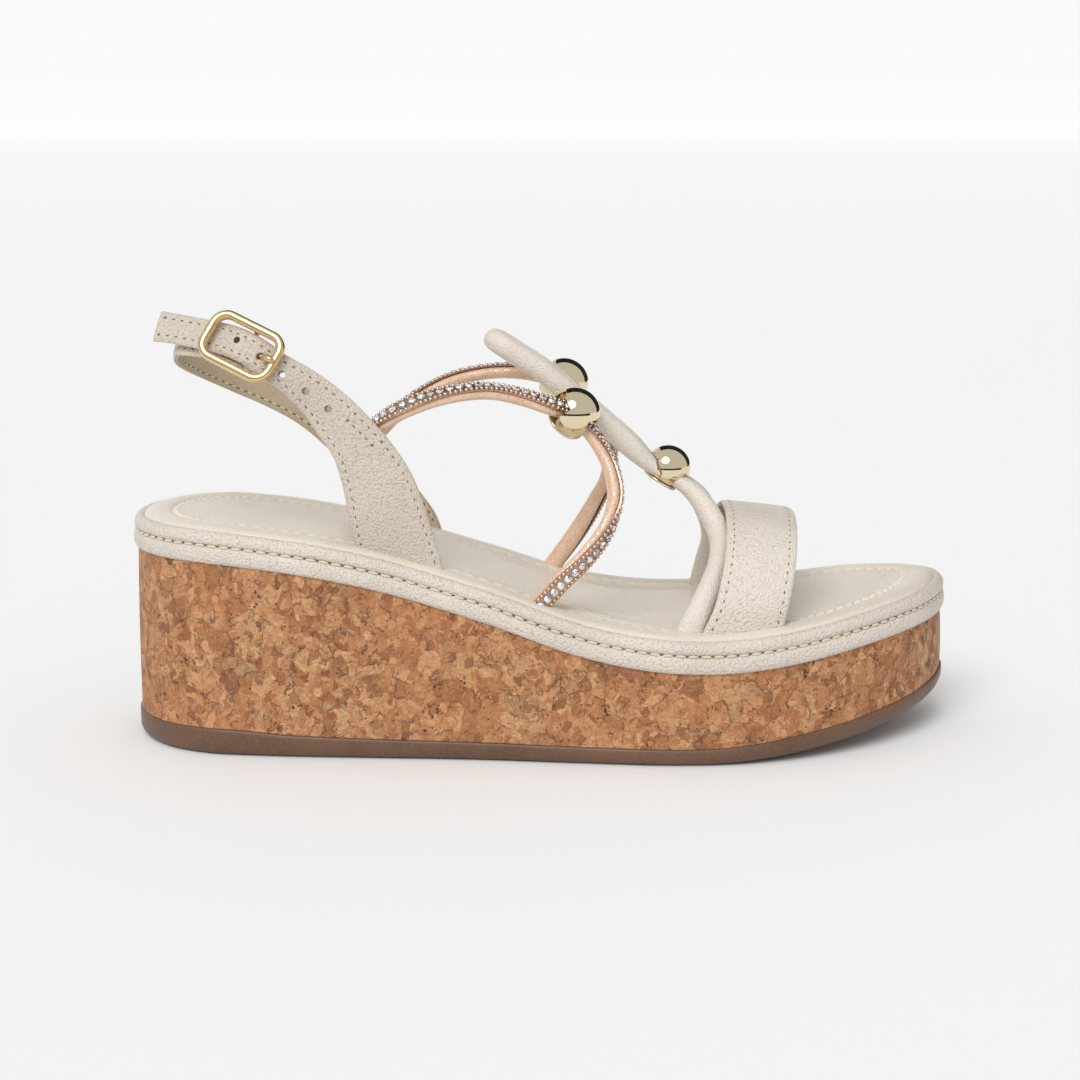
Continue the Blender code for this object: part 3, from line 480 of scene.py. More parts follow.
def band_lining(band, along, across, margin):
    """Lining sheet under a strap's leather, a little narrower than it."""
    obj = grid_sheet(along, across, lambda s, t: band.at(s, margin + (1.0 - 2.0 * margin) * t, -0.12))
    face_like(obj, band.at(0.3, 0.5, 1.0) - band.at(0.3, 0.5, 0.0), band.at(0.3, 0.5, -0.12))
    return close_sheet(obj, 0.7, 0.18)


def close_sheet(obj, thickness, bevel=0.22):
    select_only(obj)
    bpy.ops.object.mode_set(mode="EDIT")
    bpy.ops.mesh.select_all(action="SELECT")
    bpy.ops.mesh.remove_doubles(threshold=0.000002)
    bpy.ops.object.mode_set(mode="OBJECT")
    solid = obj.modifiers.new("wall", "SOLIDIFY")
    solid.thickness = thickness * MM
    solid.offset = -1.0
    solid.use_even_offset = False
    apply_modifiers(obj)
    faces_out(obj)
    if bevel:
        edge = soften(obj, "soft edge", bevel * MM, 2)
        edge.limit_method = "ANGLE"
        edge.angle_limit = math.radians(50)
        apply_modifiers(obj)
    rounded(obj, 60)
    return obj


def soft_tube(points, radii, sides=16):
    """Cord through the points, closed at both ends; radii gives side and depth, and maybe the depth's direction."""
    obj = begin(bpy.ops.mesh.primitive_cylinder_add, vertices=sides, radius=0.5, depth=1.0, end_fill_type="NOTHING")
    bm = bmesh.new()
    bm.from_mesh(obj.data)
    low = sorted((v for v in bm.verts if v.co.z < 0), key=lambda v: math.atan2(v.co.y, v.co.x))
    for v in [v for v in bm.verts if v.co.z > 0]:
        bm.verts.remove(v)
    for edge in list(bm.edges):
        bm.edges.remove(edge)
    rings = [low]
    for _ in points[1:]:
        rings.append([bm.verts.new() for _ in low])
    side = None
    for i, (centre, radius) in enumerate(zip(points, radii)):
        run = (points[min(i + 1, len(points) - 1)] - points[max(i - 1, 0)]).normalized()
        if len(radius) > 2:
            up = radius[2] - run * radius[2].dot(run)
            side = run.cross(up.normalized())
        elif side is None:
            side = run.cross(Vector((0.0, 0.0, 1.0)) if abs(run.z) < 0.9 else Vector((1.0, 0.0, 0.0)))
        side = (side - run * side.dot(run)).normalized()
        up = side.cross(run)
        for k, vertex in enumerate(rings[i]):
            turn = 2 * math.pi * k / sides
            vertex.co = (centre + side * math.cos(turn) * radius[0] + up * math.sin(turn) * radius[1]) * MM
    skin(bm, rings, rings[1:])
    bm.faces.new(rings[0])
    bm.faces.new(rings[-1])
    close_mesh(obj, bm)
    rounded(obj, 60)
    return obj


def one_mesh(objects):
    bpy.ops.object.select_all(action="DESELECT")
    for obj in objects:
        obj.select_set(True)
    bpy.context.view_layer.objects.active = objects[0]
    if len(objects) > 1:
        bpy.ops.object.join()
    return bpy.context.view_layer.objects.active


def model_once(shape):
    """The mesh data of one small shape, to be copied many times: (points, faces)."""
    shape()
    obj = bpy.context.object
    apply_modifiers(obj)
    points = [v.co.copy() for v in obj.data.vertices]
    faces = [tuple(p.vertices) for p in obj.data.polygons]
    bpy.data.objects.remove(obj)
    return points, faces


def copies(shape, places, smooth_faces=True):
    """One mesh of copies of a small shape; places are 4x4 matrices in millimetres."""
    points, faces = shape
    all_points, all_faces = [], []
    for place in places:
        start = len(all_points)
        all_points += [(place @ p) * MM for p in points]
        all_faces += [tuple(start + i for i in face) for face in faces]
    mesh = bpy.data.meshes.new("copies")
    mesh.from_pydata(all_points, [], all_faces)
    obj = bpy.data.objects.new("copies", mesh)
    bpy.context.scene.collection.objects.link(obj)
    if smooth_faces:
        mesh.shade_smooth()
    return obj


def stand(centre, along, out, size=(1.0, 1.0, 1.0)):
    """Matrix that lays a shape at centre, its X along the seam and its Z outwards."""
    x = Vector(along).normalized()
    z = Vector(out)
    z = (z - x * z.dot(x)).normalized()
    turn = Matrix((x, z.cross(x), z)).transposed().to_4x4()
    return Matrix.Translation(centre) @ turn @ Matrix.Diagonal((*size, 1.0))


def capsule():
    begin(bpy.ops.mesh.primitive_uv_sphere_add, segments=8, ring_count=6, radius=0.5)


def bead():
    begin(bpy.ops.mesh.primitive_ico_sphere_add, subdivisions=2, radius=0.5)


def cut_stone():
    """Round stone with a flat table and sloping facets, over a short girdle."""
    obj = begin(bpy.ops.mesh.primitive_cylinder_add, vertices=10, radius=0.5, depth=0.24)
    for vertex in obj.data.vertices:
        vertex.co.z += 0.12
    bpy.ops.object.mode_set(mode="EDIT")
    bm = bmesh.from_edit_mesh(obj.data)
    for face in bm.faces:
        face.select_set(face.normal.z > 0.9)
    bmesh.update_edit_mesh(obj.data)
    bpy.ops.mesh.inset(thickness=0.12)
    bpy.ops.transform.translate(value=(0.0, 0.0, 0.16))
    bpy.ops.mesh.inset(thickness=0.14)
    bpy.ops.transform.translate(value=(0.0, 0.0, 0.07))
    bpy.ops.object.mode_set(mode="OBJECT")


def stitch_row(spots, thread_long, thread_wide, hole_long, sink=0.05):
    """Matrices for the thread stitches between the stitch spots, and for small dark capsules at the spots that paint
    the shade in the needle hole openings.
    """
    threads, holes = [], []
    for (here, out), (there, _) in zip(spots, spots[1:]):
        run = there - here
        middle = here.lerp(there, 0.5)
        threads.append(stand(middle - out * sink, run, out, (thread_long, thread_wide, thread_wide * 0.8)))
    for i, (here, out) in enumerate(spots):
        run = spots[min(i + 1, len(spots) - 1)][0] - spots[max(i - 1, 0)][0]
        holes.append(stand(here + out * 0.02, run, out, (hole_long, thread_wide * 0.95, 0.34)))
    return threads, holes


# ---------------------------------------------------------------- finishes


class Nodes:
    """Short ways to add and join shader nodes."""

    def __init__(self, tree):
        self.tree = tree

    def add(self, kind, **settings):
        node = self.tree.nodes.new(kind)
        for key, value in settings.items():
            if key in ("operation", "feature"):
                setattr(node, key, value)
            else:
                node.inputs[key.replace("_", " ").title()].default_value = value
        return node

    def link(self, a, b):
        self.tree.links.new(a, b)

    def noise(self, place, scale, detail, **settings):
        node = self.add("ShaderNodeTexNoise", scale=scale, detail=detail, **settings)
        self.link(place, node.inputs["Vector"])
        return node.outputs["Fac"]

    def cells(self, place, scale, feature="F1"):
        node = self.add("ShaderNodeTexVoronoi", feature=feature, scale=scale, randomness=1.0)
        self.link(place, node.inputs["Vector"])
        return node

    def stretched(self, place, **settings):
        node = self.add("ShaderNodeMapping")
        for key, value in settings.items():
            node.inputs[key.title()].default_value = value
        self.link(place, node.inputs["Vector"])
        return node.outputs[0]

    def warped(self, place, amount, scale, detail, **settings):
        """The place pushed about by a noise, by up to half the amount each way."""
        warp = self.add("ShaderNodeTexNoise", scale=scale, detail=detail, **settings)
        self.link(place, warp.inputs["Vector"])
        centred = self.add("ShaderNodeVectorMath", operation="SUBTRACT")
        centred.inputs[1].default_value = (0.5, 0.5, 0.5)
        self.link(warp.outputs["Color"], centred.inputs[0])
        pushed = self.add("ShaderNodeVectorMath", operation="SCALE")
        pushed.inputs["Scale"].default_value = amount
        self.link(centred.outputs[0], pushed.inputs[0])
        moved = self.add("ShaderNodeVectorMath", operation="ADD")
        self.link(place, moved.inputs[0])
        self.link(pushed.outputs[0], moved.inputs[1])
        return moved.outputs[0]

    def channel(self, colour, index):
        split = self.add("ShaderNodeSeparateColor")
        self.link(colour, split.inputs[0])
        return split.outputs[index]

    def group(self, tree, place, **settings):
        node = self.add("ShaderNodeGroup")
        node.node_tree = tree
        self.link(place, node.inputs["Place"])
        for key, value in settings.items():
            node.inputs[key].default_value = value
        return node

    def times(self, a, b, clamp=False):
        return self.math("MULTIPLY", a, b, clamp)

    def ramp(self, source, stops):
        node = self.tree.nodes.new("ShaderNodeValToRGB")
        elements = node.color_ramp.elements
        while len(elements) < len(stops):
            elements.new(0.5)
        for element, (place, colour) in zip(elements, stops):
            element.position = place
            element.color = (*colour, 1.0) if isinstance(colour, tuple) else (colour, colour, colour, 1.0)
        self.link(source, node.inputs[0])
        return node.outputs[0]

    def mix(self, factor, a, b):
        node = self.tree.nodes.new("ShaderNodeMix")
        node.data_type = "RGBA"
        for value, socket in ((factor, node.inputs[0]), (a, node.inputs[6]), (b, node.inputs[7])):
            if isinstance(value, bpy.types.NodeSocket):
                self.link(value, socket)
            elif isinstance(value, tuple):
                socket.default_value = (*value, 1.0)
            else:
                socket.default_value = value
        return node.outputs[2]

    def math(self, operation, a, b=0.0, clamp=False):
        node = self.tree.nodes.new("ShaderNodeMath")
        node.operation = operation
        node.use_clamp = clamp
        for value, socket in ((a, node.inputs[0]), (b, node.inputs[1])):
            if isinstance(value, bpy.types.NodeSocket):
                self.link(value, socket)
            else:
                socket.default_value = value
        return node.outputs[0]


def new_group(name, inputs, outputs):
    tree = bpy.data.node_groups.new(name, "ShaderNodeTree")
    for label, kind, value in inputs:
        socket = tree.interface.new_socket(name=label, in_out="INPUT", socket_type=kind)
        if value is not None:
            socket.default_value = value
    for label, kind in outputs:
        tree.interface.new_socket(name=label, in_out="OUTPUT", socket_type=kind)
    return tree, Nodes(tree), tree.nodes.new("NodeGroupInput"), tree.nodes.new("NodeGroupOutput")


def make_pebble_group():
    """Leather grain: small uneven pebbles with soft creases between, and a cloudy tone."""
    tree, n, given, out = new_group("pebble grain", [
        ("Place", "NodeSocketVector", None), ("Scale", "NodeSocketFloat", 900.0),
        ("Unevenness", "NodeSocketFloat", 0.4),
    ], [("Height", "NodeSocketFloat"), ("Crease", "NodeSocketFloat"), ("Cloud", "NodeSocketFloat")])
    place = given.outputs["Place"]
    cells = n.cells(n.warped(place, 0.0007, 420.0, 2.0), 1.0, "SMOOTH_F1")
    cells.inputs["Smoothness"].default_value = 0.25
    n.link(given.outputs["Scale"], cells.inputs["Scale"])
    dome = n.math("SUBTRACT", 1.0, n.math("POWER", cells.outputs["Distance"], 1.6))
    height = n.math("ADD", dome, n.times(n.noise(place, 2600.0, 3.0), 0.18))
    folds = n.times(n.noise(place, 160.0, 3.0), given.outputs["Unevenness"])
    n.link(n.math("ADD", height, folds), out.inputs["Height"])
    # Crease mask, which the leather colour uses to paint shade into the creases
    n.link(n.math("POWER", cells.outputs["Distance"], 3.0, clamp=True), out.inputs["Crease"])
    n.link(n.noise(place, 38.0, 4.0), out.inputs["Cloud"])
    return tree


def make_wear_group():
    """Light handling marks: faint scuffs and rubbed patches."""
    tree, n, given, out = new_group("handling wear", [
        ("Place", "NodeSocketVector", None), ("Amount", "NodeSocketFloat", 0.2),
    ], [("Mask", "NodeSocketFloat"), ("Roughness", "NodeSocketFloat")])
    patches = n.noise(given.outputs["Place"], 70.0, 5.0)
    marks = n.noise(given.outputs["Place"], 900.0, 2.0)
    spots = n.ramp(patches, [(0.5, 0.0), (0.72, 1.0)])
    fine = n.ramp(marks, [(0.4, 0.0), (0.7, 1.0)])
    n.link(n.times(n.times(spots, fine), given.outputs["Amount"]), out.inputs["Mask"])
    n.link(n.times(patches, 0.16), out.inputs["Roughness"])
    return tree


def new_finish(name, roughness=0.5, metallic=0.0, **sockets):
    made = bpy.data.materials.new(name)
    made.use_nodes = True
    shader = made.node_tree.nodes["Principled BSDF"]
    shader.inputs["Roughness"].default_value = roughness
    shader.inputs["Metallic"].default_value = metallic
    for key, value in sockets.items():
        label = key.replace("_", " ").title().replace("Ior", "IOR")
        shader.inputs[label].default_value = value
    n = Nodes(made.node_tree)
    place = n.add("ShaderNodeTexCoord").outputs["Object"]
    return made, shader, n, place


def bump(n, shader, height, strength, distance):
    node = n.add("ShaderNodeBump", strength=strength)
    node.inputs["Distance"].default_value = distance
    n.link(height, node.inputs["Height"])
    n.link(node.outputs[0], shader.inputs["Normal"])


def leather_finish(name, colour, shade, grain=1350.0, depth=1.0, roughness=0.42, unevenness=0.12, coat=0.12):
    """Pebbled leather: lighter on the pebbles, with painted shade that darkens the creases between them, and a slow
    cloudy change of tone.
    """
    made, shader, n, place = new_finish(name, roughness, coat_weight=coat, coat_roughness=0.3, specular_ior_level=0.45)
    group = n.group(pebble_group, place, Scale=grain, Unevenness=unevenness)
    wear = n.group(wear_group, place, Amount=0.25)
    between = tuple(0.5 * (a + b) for a, b in zip(colour, shade))
    cloudy = n.mix(n.ramp(group.outputs["Cloud"], [(0.35, 0.0), (0.65, 1.0)]), colour, between)
    # Painted shade: the colour goes towards the shade tone in the creases between the pebbles
    crease_shaded = n.mix(n.times(group.outputs["Crease"], 1.1, clamp=True), cloudy, shade)
    worn = n.mix(wear.outputs["Mask"], crease_shaded, tuple(min(c * 1.12, 0.95) for c in colour))
    n.link(worn, shader.inputs["Base Color"])
    n.link(n.math("ADD", wear.outputs["Roughness"], roughness - 0.08), shader.inputs["Roughness"])
    bump(n, shader, group.outputs["Height"], depth, 0.0004)
    return made


def cork_finish():
    """Pressed cork: uneven granules in tans and browns, fine dark cracks, flecks and clusters of pits."""
    made, shader, n, place = new_finish(
        "pressed cork", 0.62, specular_ior_level=0.35, coat_weight=0.06, coat_roughness=0.4)
    moved = n.warped(n.stretched(place, scale=(1.0, 1.0, 0.86)), 0.0046, 270.0, 4.0, roughness=0.55)
    big, small = n.cells(moved, 215.0), n.cells(moved, 480.0)
    big_edge, small_edge = n.cells(moved, 215.0, "DISTANCE_TO_EDGE"), n.cells(moved, 480.0, "DISTANCE_TO_EDGE")
    tones = [
        (0.0, (0.200, 0.074, 0.028)), (0.18, (0.330, 0.128, 0.048)), (0.42, (0.430, 0.185, 0.074)),
        (0.66, (0.510, 0.245, 0.108)), (0.86, (0.620, 0.350, 0.168)), (1.0, (0.380, 0.210, 0.106)),
    ]
    shade = n.channel(big.outputs["Color"], 0)
    crumbs = n.ramp(n.channel(small.outputs["Color"], 1), tones)
    pick = n.ramp(n.channel(big.outputs["Color"], 2), [(0.30, 0.25), (0.55, 0.92)])
    mixed = n.mix(pick, n.ramp(shade, tones), crumbs)
    lying = n.stretched(moved, rotation=(0.4, 0.9, 0.3), scale=(1.0, 3.0, 2.2))
    streaks = n.noise(lying, 620.0, 5.0, roughness=0.65)
    streaked = n.mix(n.ramp(streaks, [(0.32, 0.60), (0.52, 0.0)]), mixed, (0.210, 0.085, 0.032))
    light = n.mix(n.ramp(streaks, [(0.56, 0.0), (0.72, 0.5)]), streaked, (0.80, 0.57, 0.34))
    clouds = n.ramp(n.noise(place, 45.0, 2.0), [(0.40, 0.0), (0.70, 0.28)])
    toned = n.mix(clouds, light, (0.50, 0.20, 0.075))
    cracks_big = n.ramp(big_edge.outputs["Distance"], [(0.0, 1.0), (0.05, 0.0)])
    cracks_small = n.ramp(small_edge.outputs["Distance"], [(0.0, 0.7), (0.05, 0.0)])
    gate = n.ramp(n.noise(place, 330.0, 3.0), [(0.46, 0.0), (0.58, 1.0)])
    cracks = n.times(n.math("MAXIMUM", cracks_big, cracks_small), gate)
    cracked = n.mix(n.times(cracks, 0.72), toned, (0.060, 0.024, 0.011))
    pits = n.ramp(n.cells(moved, 760.0).outputs["Distance"], [(0.24, 1.0), (0.40, 0.0)])
    where = n.ramp(n.noise(place, 95.0, 2.0), [(0.63, 0.0), (0.68, 1.0)])
    fleck = n.ramp(n.cells(place, 330.0).outputs["Distance"], [(0.07, 1.0), (0.12, 0.0)])
    dark = n.math("MAXIMUM", n.times(pits, where), n.times(fleck, 0.8))
    n.link(n.mix(dark, cracked, (0.055, 0.022, 0.010)), shader.inputs["Base Color"])
    height = n.math("ADD", n.times(n.noise(place, 1500.0, 4.0), 0.35), n.times(shade, 0.5))
    height = n.math("SUBTRACT", height, n.times(cracks, 1.1))
    height = n.math("SUBTRACT", height, n.times(dark, 1.6))
    bump(n, shader, height, 0.55, 0.00035)
    n.link(n.math("ADD", n.times(streaks, 0.3), 0.48), shader.inputs["Roughness"])
    return made


def rubber_finish():
    made, shader, n, place = new_finish("brown outsole rubber", 0.5, specular_ior_level=0.5)
    speckle, cloud = n.noise(place, 1400.0, 3.0), n.noise(place, 60.0, 3.0)
    base = n.mix(n.ramp(cloud, [(0.35, 0.0), (0.65, 1.0)]), (0.112, 0.055, 0.030), (0.150, 0.077, 0.043))
    speckled = n.mix(n.ramp(speckle, [(0.45, 0.0), (0.75, 0.4)]), base, (0.24, 0.14, 0.085))
    n.link(speckled, shader.inputs["Base Color"])
    n.link(n.math("ADD", n.group(wear_group, place).outputs["Roughness"], 0.34), shader.inputs["Roughness"])
    bump(n, shader, speckle, 0.3, 0.00012)
    return made


def suede_finish():
    """Peach suede with a metallic dusting: short soft nap and bright fine specks."""
    made, shader, n, place = new_finish("peach suede", 0.55, sheen_weight=0.5, sheen_roughness=0.4)
    nap, patch = n.noise(place, 1900.0, 4.0, roughness=0.7), n.noise(place, 240.0, 3.0)
    base = n.mix(n.ramp(patch, [(0.35, 0.0), (0.65, 1.0)]), (0.690, 0.430, 0.290), (0.760, 0.520, 0.380))
    soft = n.mix(n.ramp(nap, [(0.35, 0.0), (0.65, 0.5)]), base, (0.850, 0.660, 0.520))
    n.link(soft, shader.inputs["Base Color"])
    spark = n.ramp(n.channel(n.cells(place, 3600.0).outputs["Color"], 0), [(0.80, 0.0), (0.84, 1.0)])
    n.link(n.times(spark, 0.8), shader.inputs["Metallic"])
    n.link(n.math("SUBTRACT", 0.62, n.times(spark, 0.35)), shader.inputs["Roughness"])
    bump(n, shader, nap, 0.4, 0.00018)
    return made


def thread_finish(name, colour, dark):
    made, shader, n, place = new_finish(name, 0.6, sheen_weight=0.2, sheen_roughness=0.5)
    twist = n.noise(place, 3000.0, 2.0)
    n.link(n.mix(twist, colour, dark), shader.inputs["Base Color"])
    bump(n, shader, twist, 0.3, 0.0001)
    return made


def gold_finish(name, colour, edge, roughness):
    made, shader, n, place = new_finish(name, roughness, 1.0)
    haze = n.noise(place, 300.0, 3.0)
    n.link(n.mix(haze, colour, edge), shader.inputs["Base Color"])
    n.link(n.math("ADD", n.times(haze, 0.05), roughness - 0.02), shader.inputs["Roughness"])
    bump(n, shader, n.noise(place, 2400.0, 2.0), 0.02, 0.00002)
    return made


def stone_finish():
    made, shader, n, place = new_finish("clear cut stones", 0.03, 0.0, coat_weight=1.0, coat_roughness=0.02)
    # Painted sparkle: a random colour per facet cell, from dark grey through white to bluish and warm, stands for
    # reflections and fire in the clear stones; the same cells set a random metallic
    painted_sparkle_cells = n.cells(place, 1500.0).outputs["Color"]
    colour = n.ramp(n.channel(painted_sparkle_cells, 0), [
        (0.0, (0.22, 0.21, 0.22)), (0.3, (0.62, 0.60, 0.60)), (0.55, (0.95, 0.95, 0.97)),
        (0.75, (0.70, 0.78, 0.95)), (0.9, (0.98, 0.90, 0.78)), (1.0, (1.0, 1.0, 1.0))])
    n.link(colour, shader.inputs["Base Color"])
    n.link(n.ramp(n.channel(painted_sparkle_cells, 1), [(0.3, 0.15), (0.7, 0.9)]), shader.inputs["Metallic"])
    return made


def plain_foam_finish(name, a, b):
    made, shader, n, place = new_finish(name, 0.9)
    pores = n.noise(place, 800.0, 3.0)
    n.link(n.mix(pores, a, b), shader.inputs["Base Color"])
    bump(n, shader, pores, 0.3, 0.0002)
    return made


def floor_finish():
    made, shader, n, place = new_finish("pale paper", 0.9, specular_ior_level=0.1)
    split = n.add("ShaderNodeSeparateXYZ")
    n.link(place, split.inputs[0])
    # A little darker where the paper turns up and faces the light, so that the background reads as one tone
    tones = [(at, (grey, grey, grey)) for at, grey in ((0.0, 0.885), (0.17, 0.842), (0.5, 0.797), (1.0, 0.781))]
    height = n.math("DIVIDE", split.outputs["Z"], 0.6, clamp=True)
    n.link(n.ramp(height, tones), shader.inputs["Base Color"])
    return made


pebble_group = make_pebble_group()
wear_group = make_wear_group()

cream = leather_finish("cream pebbled leather", (0.665, 0.585, 0.500), (0.520, 0.445, 0.370))
band_cream = leather_finish("pearl pebbled leather", (0.765, 0.700, 0.615), (0.620, 0.545, 0.460))
binding_leather = leather_finish("cream edge leather", (0.750, 0.675, 0.595), (0.590, 0.515, 0.440))
cord_leather = leather_finish(
    "cream cord leather", (0.780, 0.710, 0.635), (0.640, 0.565, 0.485), grain=1700.0, depth=0.6)
footbed_leather = leather_finish(
    "pearl footbed leather", (0.800, 0.730, 0.625), (0.680, 0.605, 0.500), grain=1600.0, depth=0.35, roughness=0.34,
    unevenness=1.2, coat=0.25)
lining = leather_finish(
    "tan lining leather", (0.520, 0.430, 0.300), (0.400, 0.320, 0.210), grain=1500.0, depth=0.2, roughness=0.5)
cork = cork_finish()
rubber = rubber_finish()
suede = suede_finish()
gold = gold_finish("pale gold plating", (0.840, 0.740, 0.520), (0.800, 0.690, 0.460), 0.045)
buckle_gold = gold_finish("warm gold plating", (0.800, 0.600, 0.310), (0.740, 0.530, 0.260), 0.12)
rose_gold = gold_finish("rose gold beads", (0.780, 0.560, 0.430), (0.700, 0.470, 0.340), 0.16)
setting = gold_finish("stone settings", (0.560, 0.400, 0.300), (0.440, 0.300, 0.220), 0.3)
stones = stone_finish()
cream_thread = thread_finish("cream thread", (0.760, 0.680, 0.520), (0.600, 0.510, 0.360))
pale_thread = thread_finish("pale thread", (0.780, 0.730, 0.660), (0.640, 0.580, 0.500))
# Dark capsules at the stitch ends: painted shade where each needle hole goes into the leather
needle_hole_shade = thread_finish("needle hole shade", (0.150, 0.120, 0.095), (0.085, 0.065, 0.050))
foam = plain_foam_finish("moulded foam", (0.72, 0.68, 0.60), (0.62, 0.57, 0.49))
board = plain_foam_finish("pressed fibreboard", (0.42, 0.33, 0.24), (0.33, 0.25, 0.18))

# ---------------------------------------------------------------- platform

outline = make_outline(SIDE_POINTS)
u_axis = BUCKLE_ALONG.normalized()
w_axis = BUCKLE_ALONG.cross(BUCKLE_ACROSS).normalized()
buckle_axes = Matrix((u_axis, w_axis.cross(u_axis), w_axis)).transposed()


def on_buckle(u, v, h):
    """A point given along, across and above the buckle's centre bar."""
    return BUCKLE_CENTRE + buckle_axes @ Vector((u, v, h))


def across_buckle(u, v, h, width):
    return on_buckle(u, v + width / 2, h), on_buckle(u, v - width / 2, h)


def across_at(centre, up, width):
    half = Vector(up).normalized() * width / 2
    return Vector(centre) + half, Vector(centre) - half


def above(rise):
    return lambda x: deck(x) + rise


def make_outsole():
    """Rubber sole: soft lower lip, upright wall and a fine step under the cork."""
    rings = [
        ring(6.0, ground_side),
        ring(2.4, ground_side),
        ring(1.2, lambda x: ground_side(x) + 0.15),
        ring(0.2, lambda x: ground_side(x) + 0.7),
        ring(-0.7, lambda x: ground_side(x) + 1.6),
        ring(-1.2, lambda x: ground_side(x) + 2.7),
        ring(-1.25, lambda x: (ground_side(x) + 2.7 + sole_top(x)) / 2),
        ring(-1.2, lambda x: sole_top(x) - 0.5),
        ring(-0.9, lambda x: sole_top(x) - 0.1),
        ring(-0.4, sole_top),
        ring(3.0, sole_top),
    ]
    sole = outline_shell(rings)
    rounded(sole, 45)
    finish_piece(sole, "outsole_body", rubber, "sandal", ("outsole",))
    # Moulded tread bars across the underside, kept just inside the sole's lowest face
    bars = []
    for i in range(34):
        x = -112.0 + 6.6 * i
        near = min(outline, key=lambda p: abs(p.x - x) + (1000 if p.y > 0 else 0))
        far = min(outline, key=lambda p: abs(p.x - x) + (1000 if p.y < 0 else 0))
        middle, half = (near.y + far.y) / 2, (far.y - near.y) / 2 - 9.0
        if half < 8.0:
            continue
        bar = begin(bpy.ops.mesh.primitive_cube_add, size=MM, location=(0.0, 0.0, 0.0))
        slope = (ground_side(x + 1) - ground_side(x - 1)) / 2
        for vertex in bar.data.vertices:
            local = vertex.co / MM
            vertex.co = Vector((
                (x + local.x * 3.0) * MM,
                (middle + local.y * 2 * half) * MM,
                (ground_side(x) + slope * local.x * 3.0 + 0.3 + local.z * 0.4) * MM,
            ))
        soften(bar, "soft edge", 0.08 * MM, 2)
        apply_modifiers(bar)
        bars.append(bar)
    tread = one_mesh(bars)
    faces_out(tread)
    finish_piece(settle(tread), "outsole_tread", rubber, "sandal")


def make_cork():
    """Cork wall round the platform, with its rounded top edge tucked under the binding."""
    low = lambda x: sole_top(x) + 0.05
    rows = []
    for i in range(13):
        part = i / 12
        bulge = 0.25 * math.sin(math.pi * part)
        rows.append(ring(-0.6 + 0.6 * part - bulge, lambda x, k=part: low(x) * (1 - k) + (deck(x) + 0.1) * k))
    rows.append(ring(1.5, above(0.1)))
    rows.append(ring(0.9, low))
    wall = outline_shell(rows, hollow=True)
    rounded(wall, 50)
    finish_piece(wall, "cork_body", cork, "sandal", ("cork_wrap",))


def rim_path(inset, rise, spacing):
    """Evenly spaced places round the rim with their outward and running directions."""
    line = ring(inset, above(rise))
    closed = line + [line[0]]
    count = int(length_of(closed) / spacing)
    spots = spread_evenly(closed, count + 1)[:-1]
    made = []
    for i, here in enumerate(spots):
        run = (spots[(i + 1) % count] - spots[i - 1]).normalized()
        out = Vector((run.y, -run.x, 0.0)).normalized()
        made.append((here, run, out))
    return made


def ripple_ring(inset, rise, seed, amount):
    """Ring of the outline with the slow small unevenness of leather stretched round an edge."""
    line = ring(inset, above(rise))
    moved = []
    for i, p in enumerate(line):
        turn = i / len(line) * 2 * math.pi
        wave = (
            math.sin(11 * turn + seed) + 0.7 * math.sin(23 * turn + 2.1 * seed) + 0.5 * math.sin(47 * turn + 0.7 * seed)
        )
        moved.append(p + Vector((0.0, 0.0, amount * wave)))
    return moved


def make_binding():
    """Leather edge: a lower roll over the cork, a stitched groove, and a fuller upper roll round the rim."""
    lower_profile = [
        (1.4, 0.0), (0.2, -0.05), (-0.55, 0.05), (-1.05, 0.7), (-1.3, 1.8), (-1.3, 3.2), (-1.1, 4.3), (-0.6, 5.05),
        (0.2, 5.3), (1.4, 5.2), (1.9, 2.6),
    ]
    lower = outline_shell([ripple_ring(a, b, 1.3, 0.05 if b > 1.0 else 0.02) for a, b in lower_profile], hollow=True)
    rounded(lower, 60)
    finish_piece(lower, "binding_lower_roll", binding_leather, "sandal", ("edge_binding",))
    upper_profile = [
        (1.9, 3.9), (0.9, 5.0), (0.2, 5.3), (-0.45, 5.7), (-0.9, 6.4), (-1.0, 7.2), (-0.8, 8.1), (-0.3, 8.9),
        (0.4, 9.4), (1.2, 9.55), (2.0, 9.3), (2.6, 8.6), (2.8, 7.4), (2.8, 6.0), (2.5, 4.6),
    ]
    upper = outline_shell([ripple_ring(a, b, 4.4, 0.05 if b > 5.0 else 0.0) for a, b in upper_profile], hollow=True)
    rounded(upper, 60)
    finish_piece(upper, "binding_upper_roll", binding_leather, "sandal")
    # Thick cream stitches in the groove, each diving into a needle hole whose shade is painted by a small dark capsule
    threads, holes = [], []
    places = rim_path(-0.62, 5.38, 3.7)
    for i, (here, run, out) in enumerate(places):
        there = places[(i + 1) % len(places)][0]
        middle = here.lerp(there, 0.5)
        threads.append(stand(middle, there - here, out, (3.3, 0.85, 0.9)))
        holes.append(stand(here - out * 0.28, run, out, (0.5, 0.7, 0.5)))
    row = copies(model_once(capsule), threads)
    finish_piece(row, "binding_stitches", cream_thread, "sandal")
    marks = copies(model_once(capsule), holes)
    finish_piece(marks, "binding_needle_hole_shade", needle_hole_shade, "sandal")


# ---------------------------------------------------------------- padded footbed

RIM_START = 2.0  # inset of the pad's outer edge, over the binding
CROWN_INSET = 6.5  # of the highest line of the pad's rim
STITCH_INSET = 11.0  # of the sewn channel that runs round the pad
GATHER_PITCH = 4.2


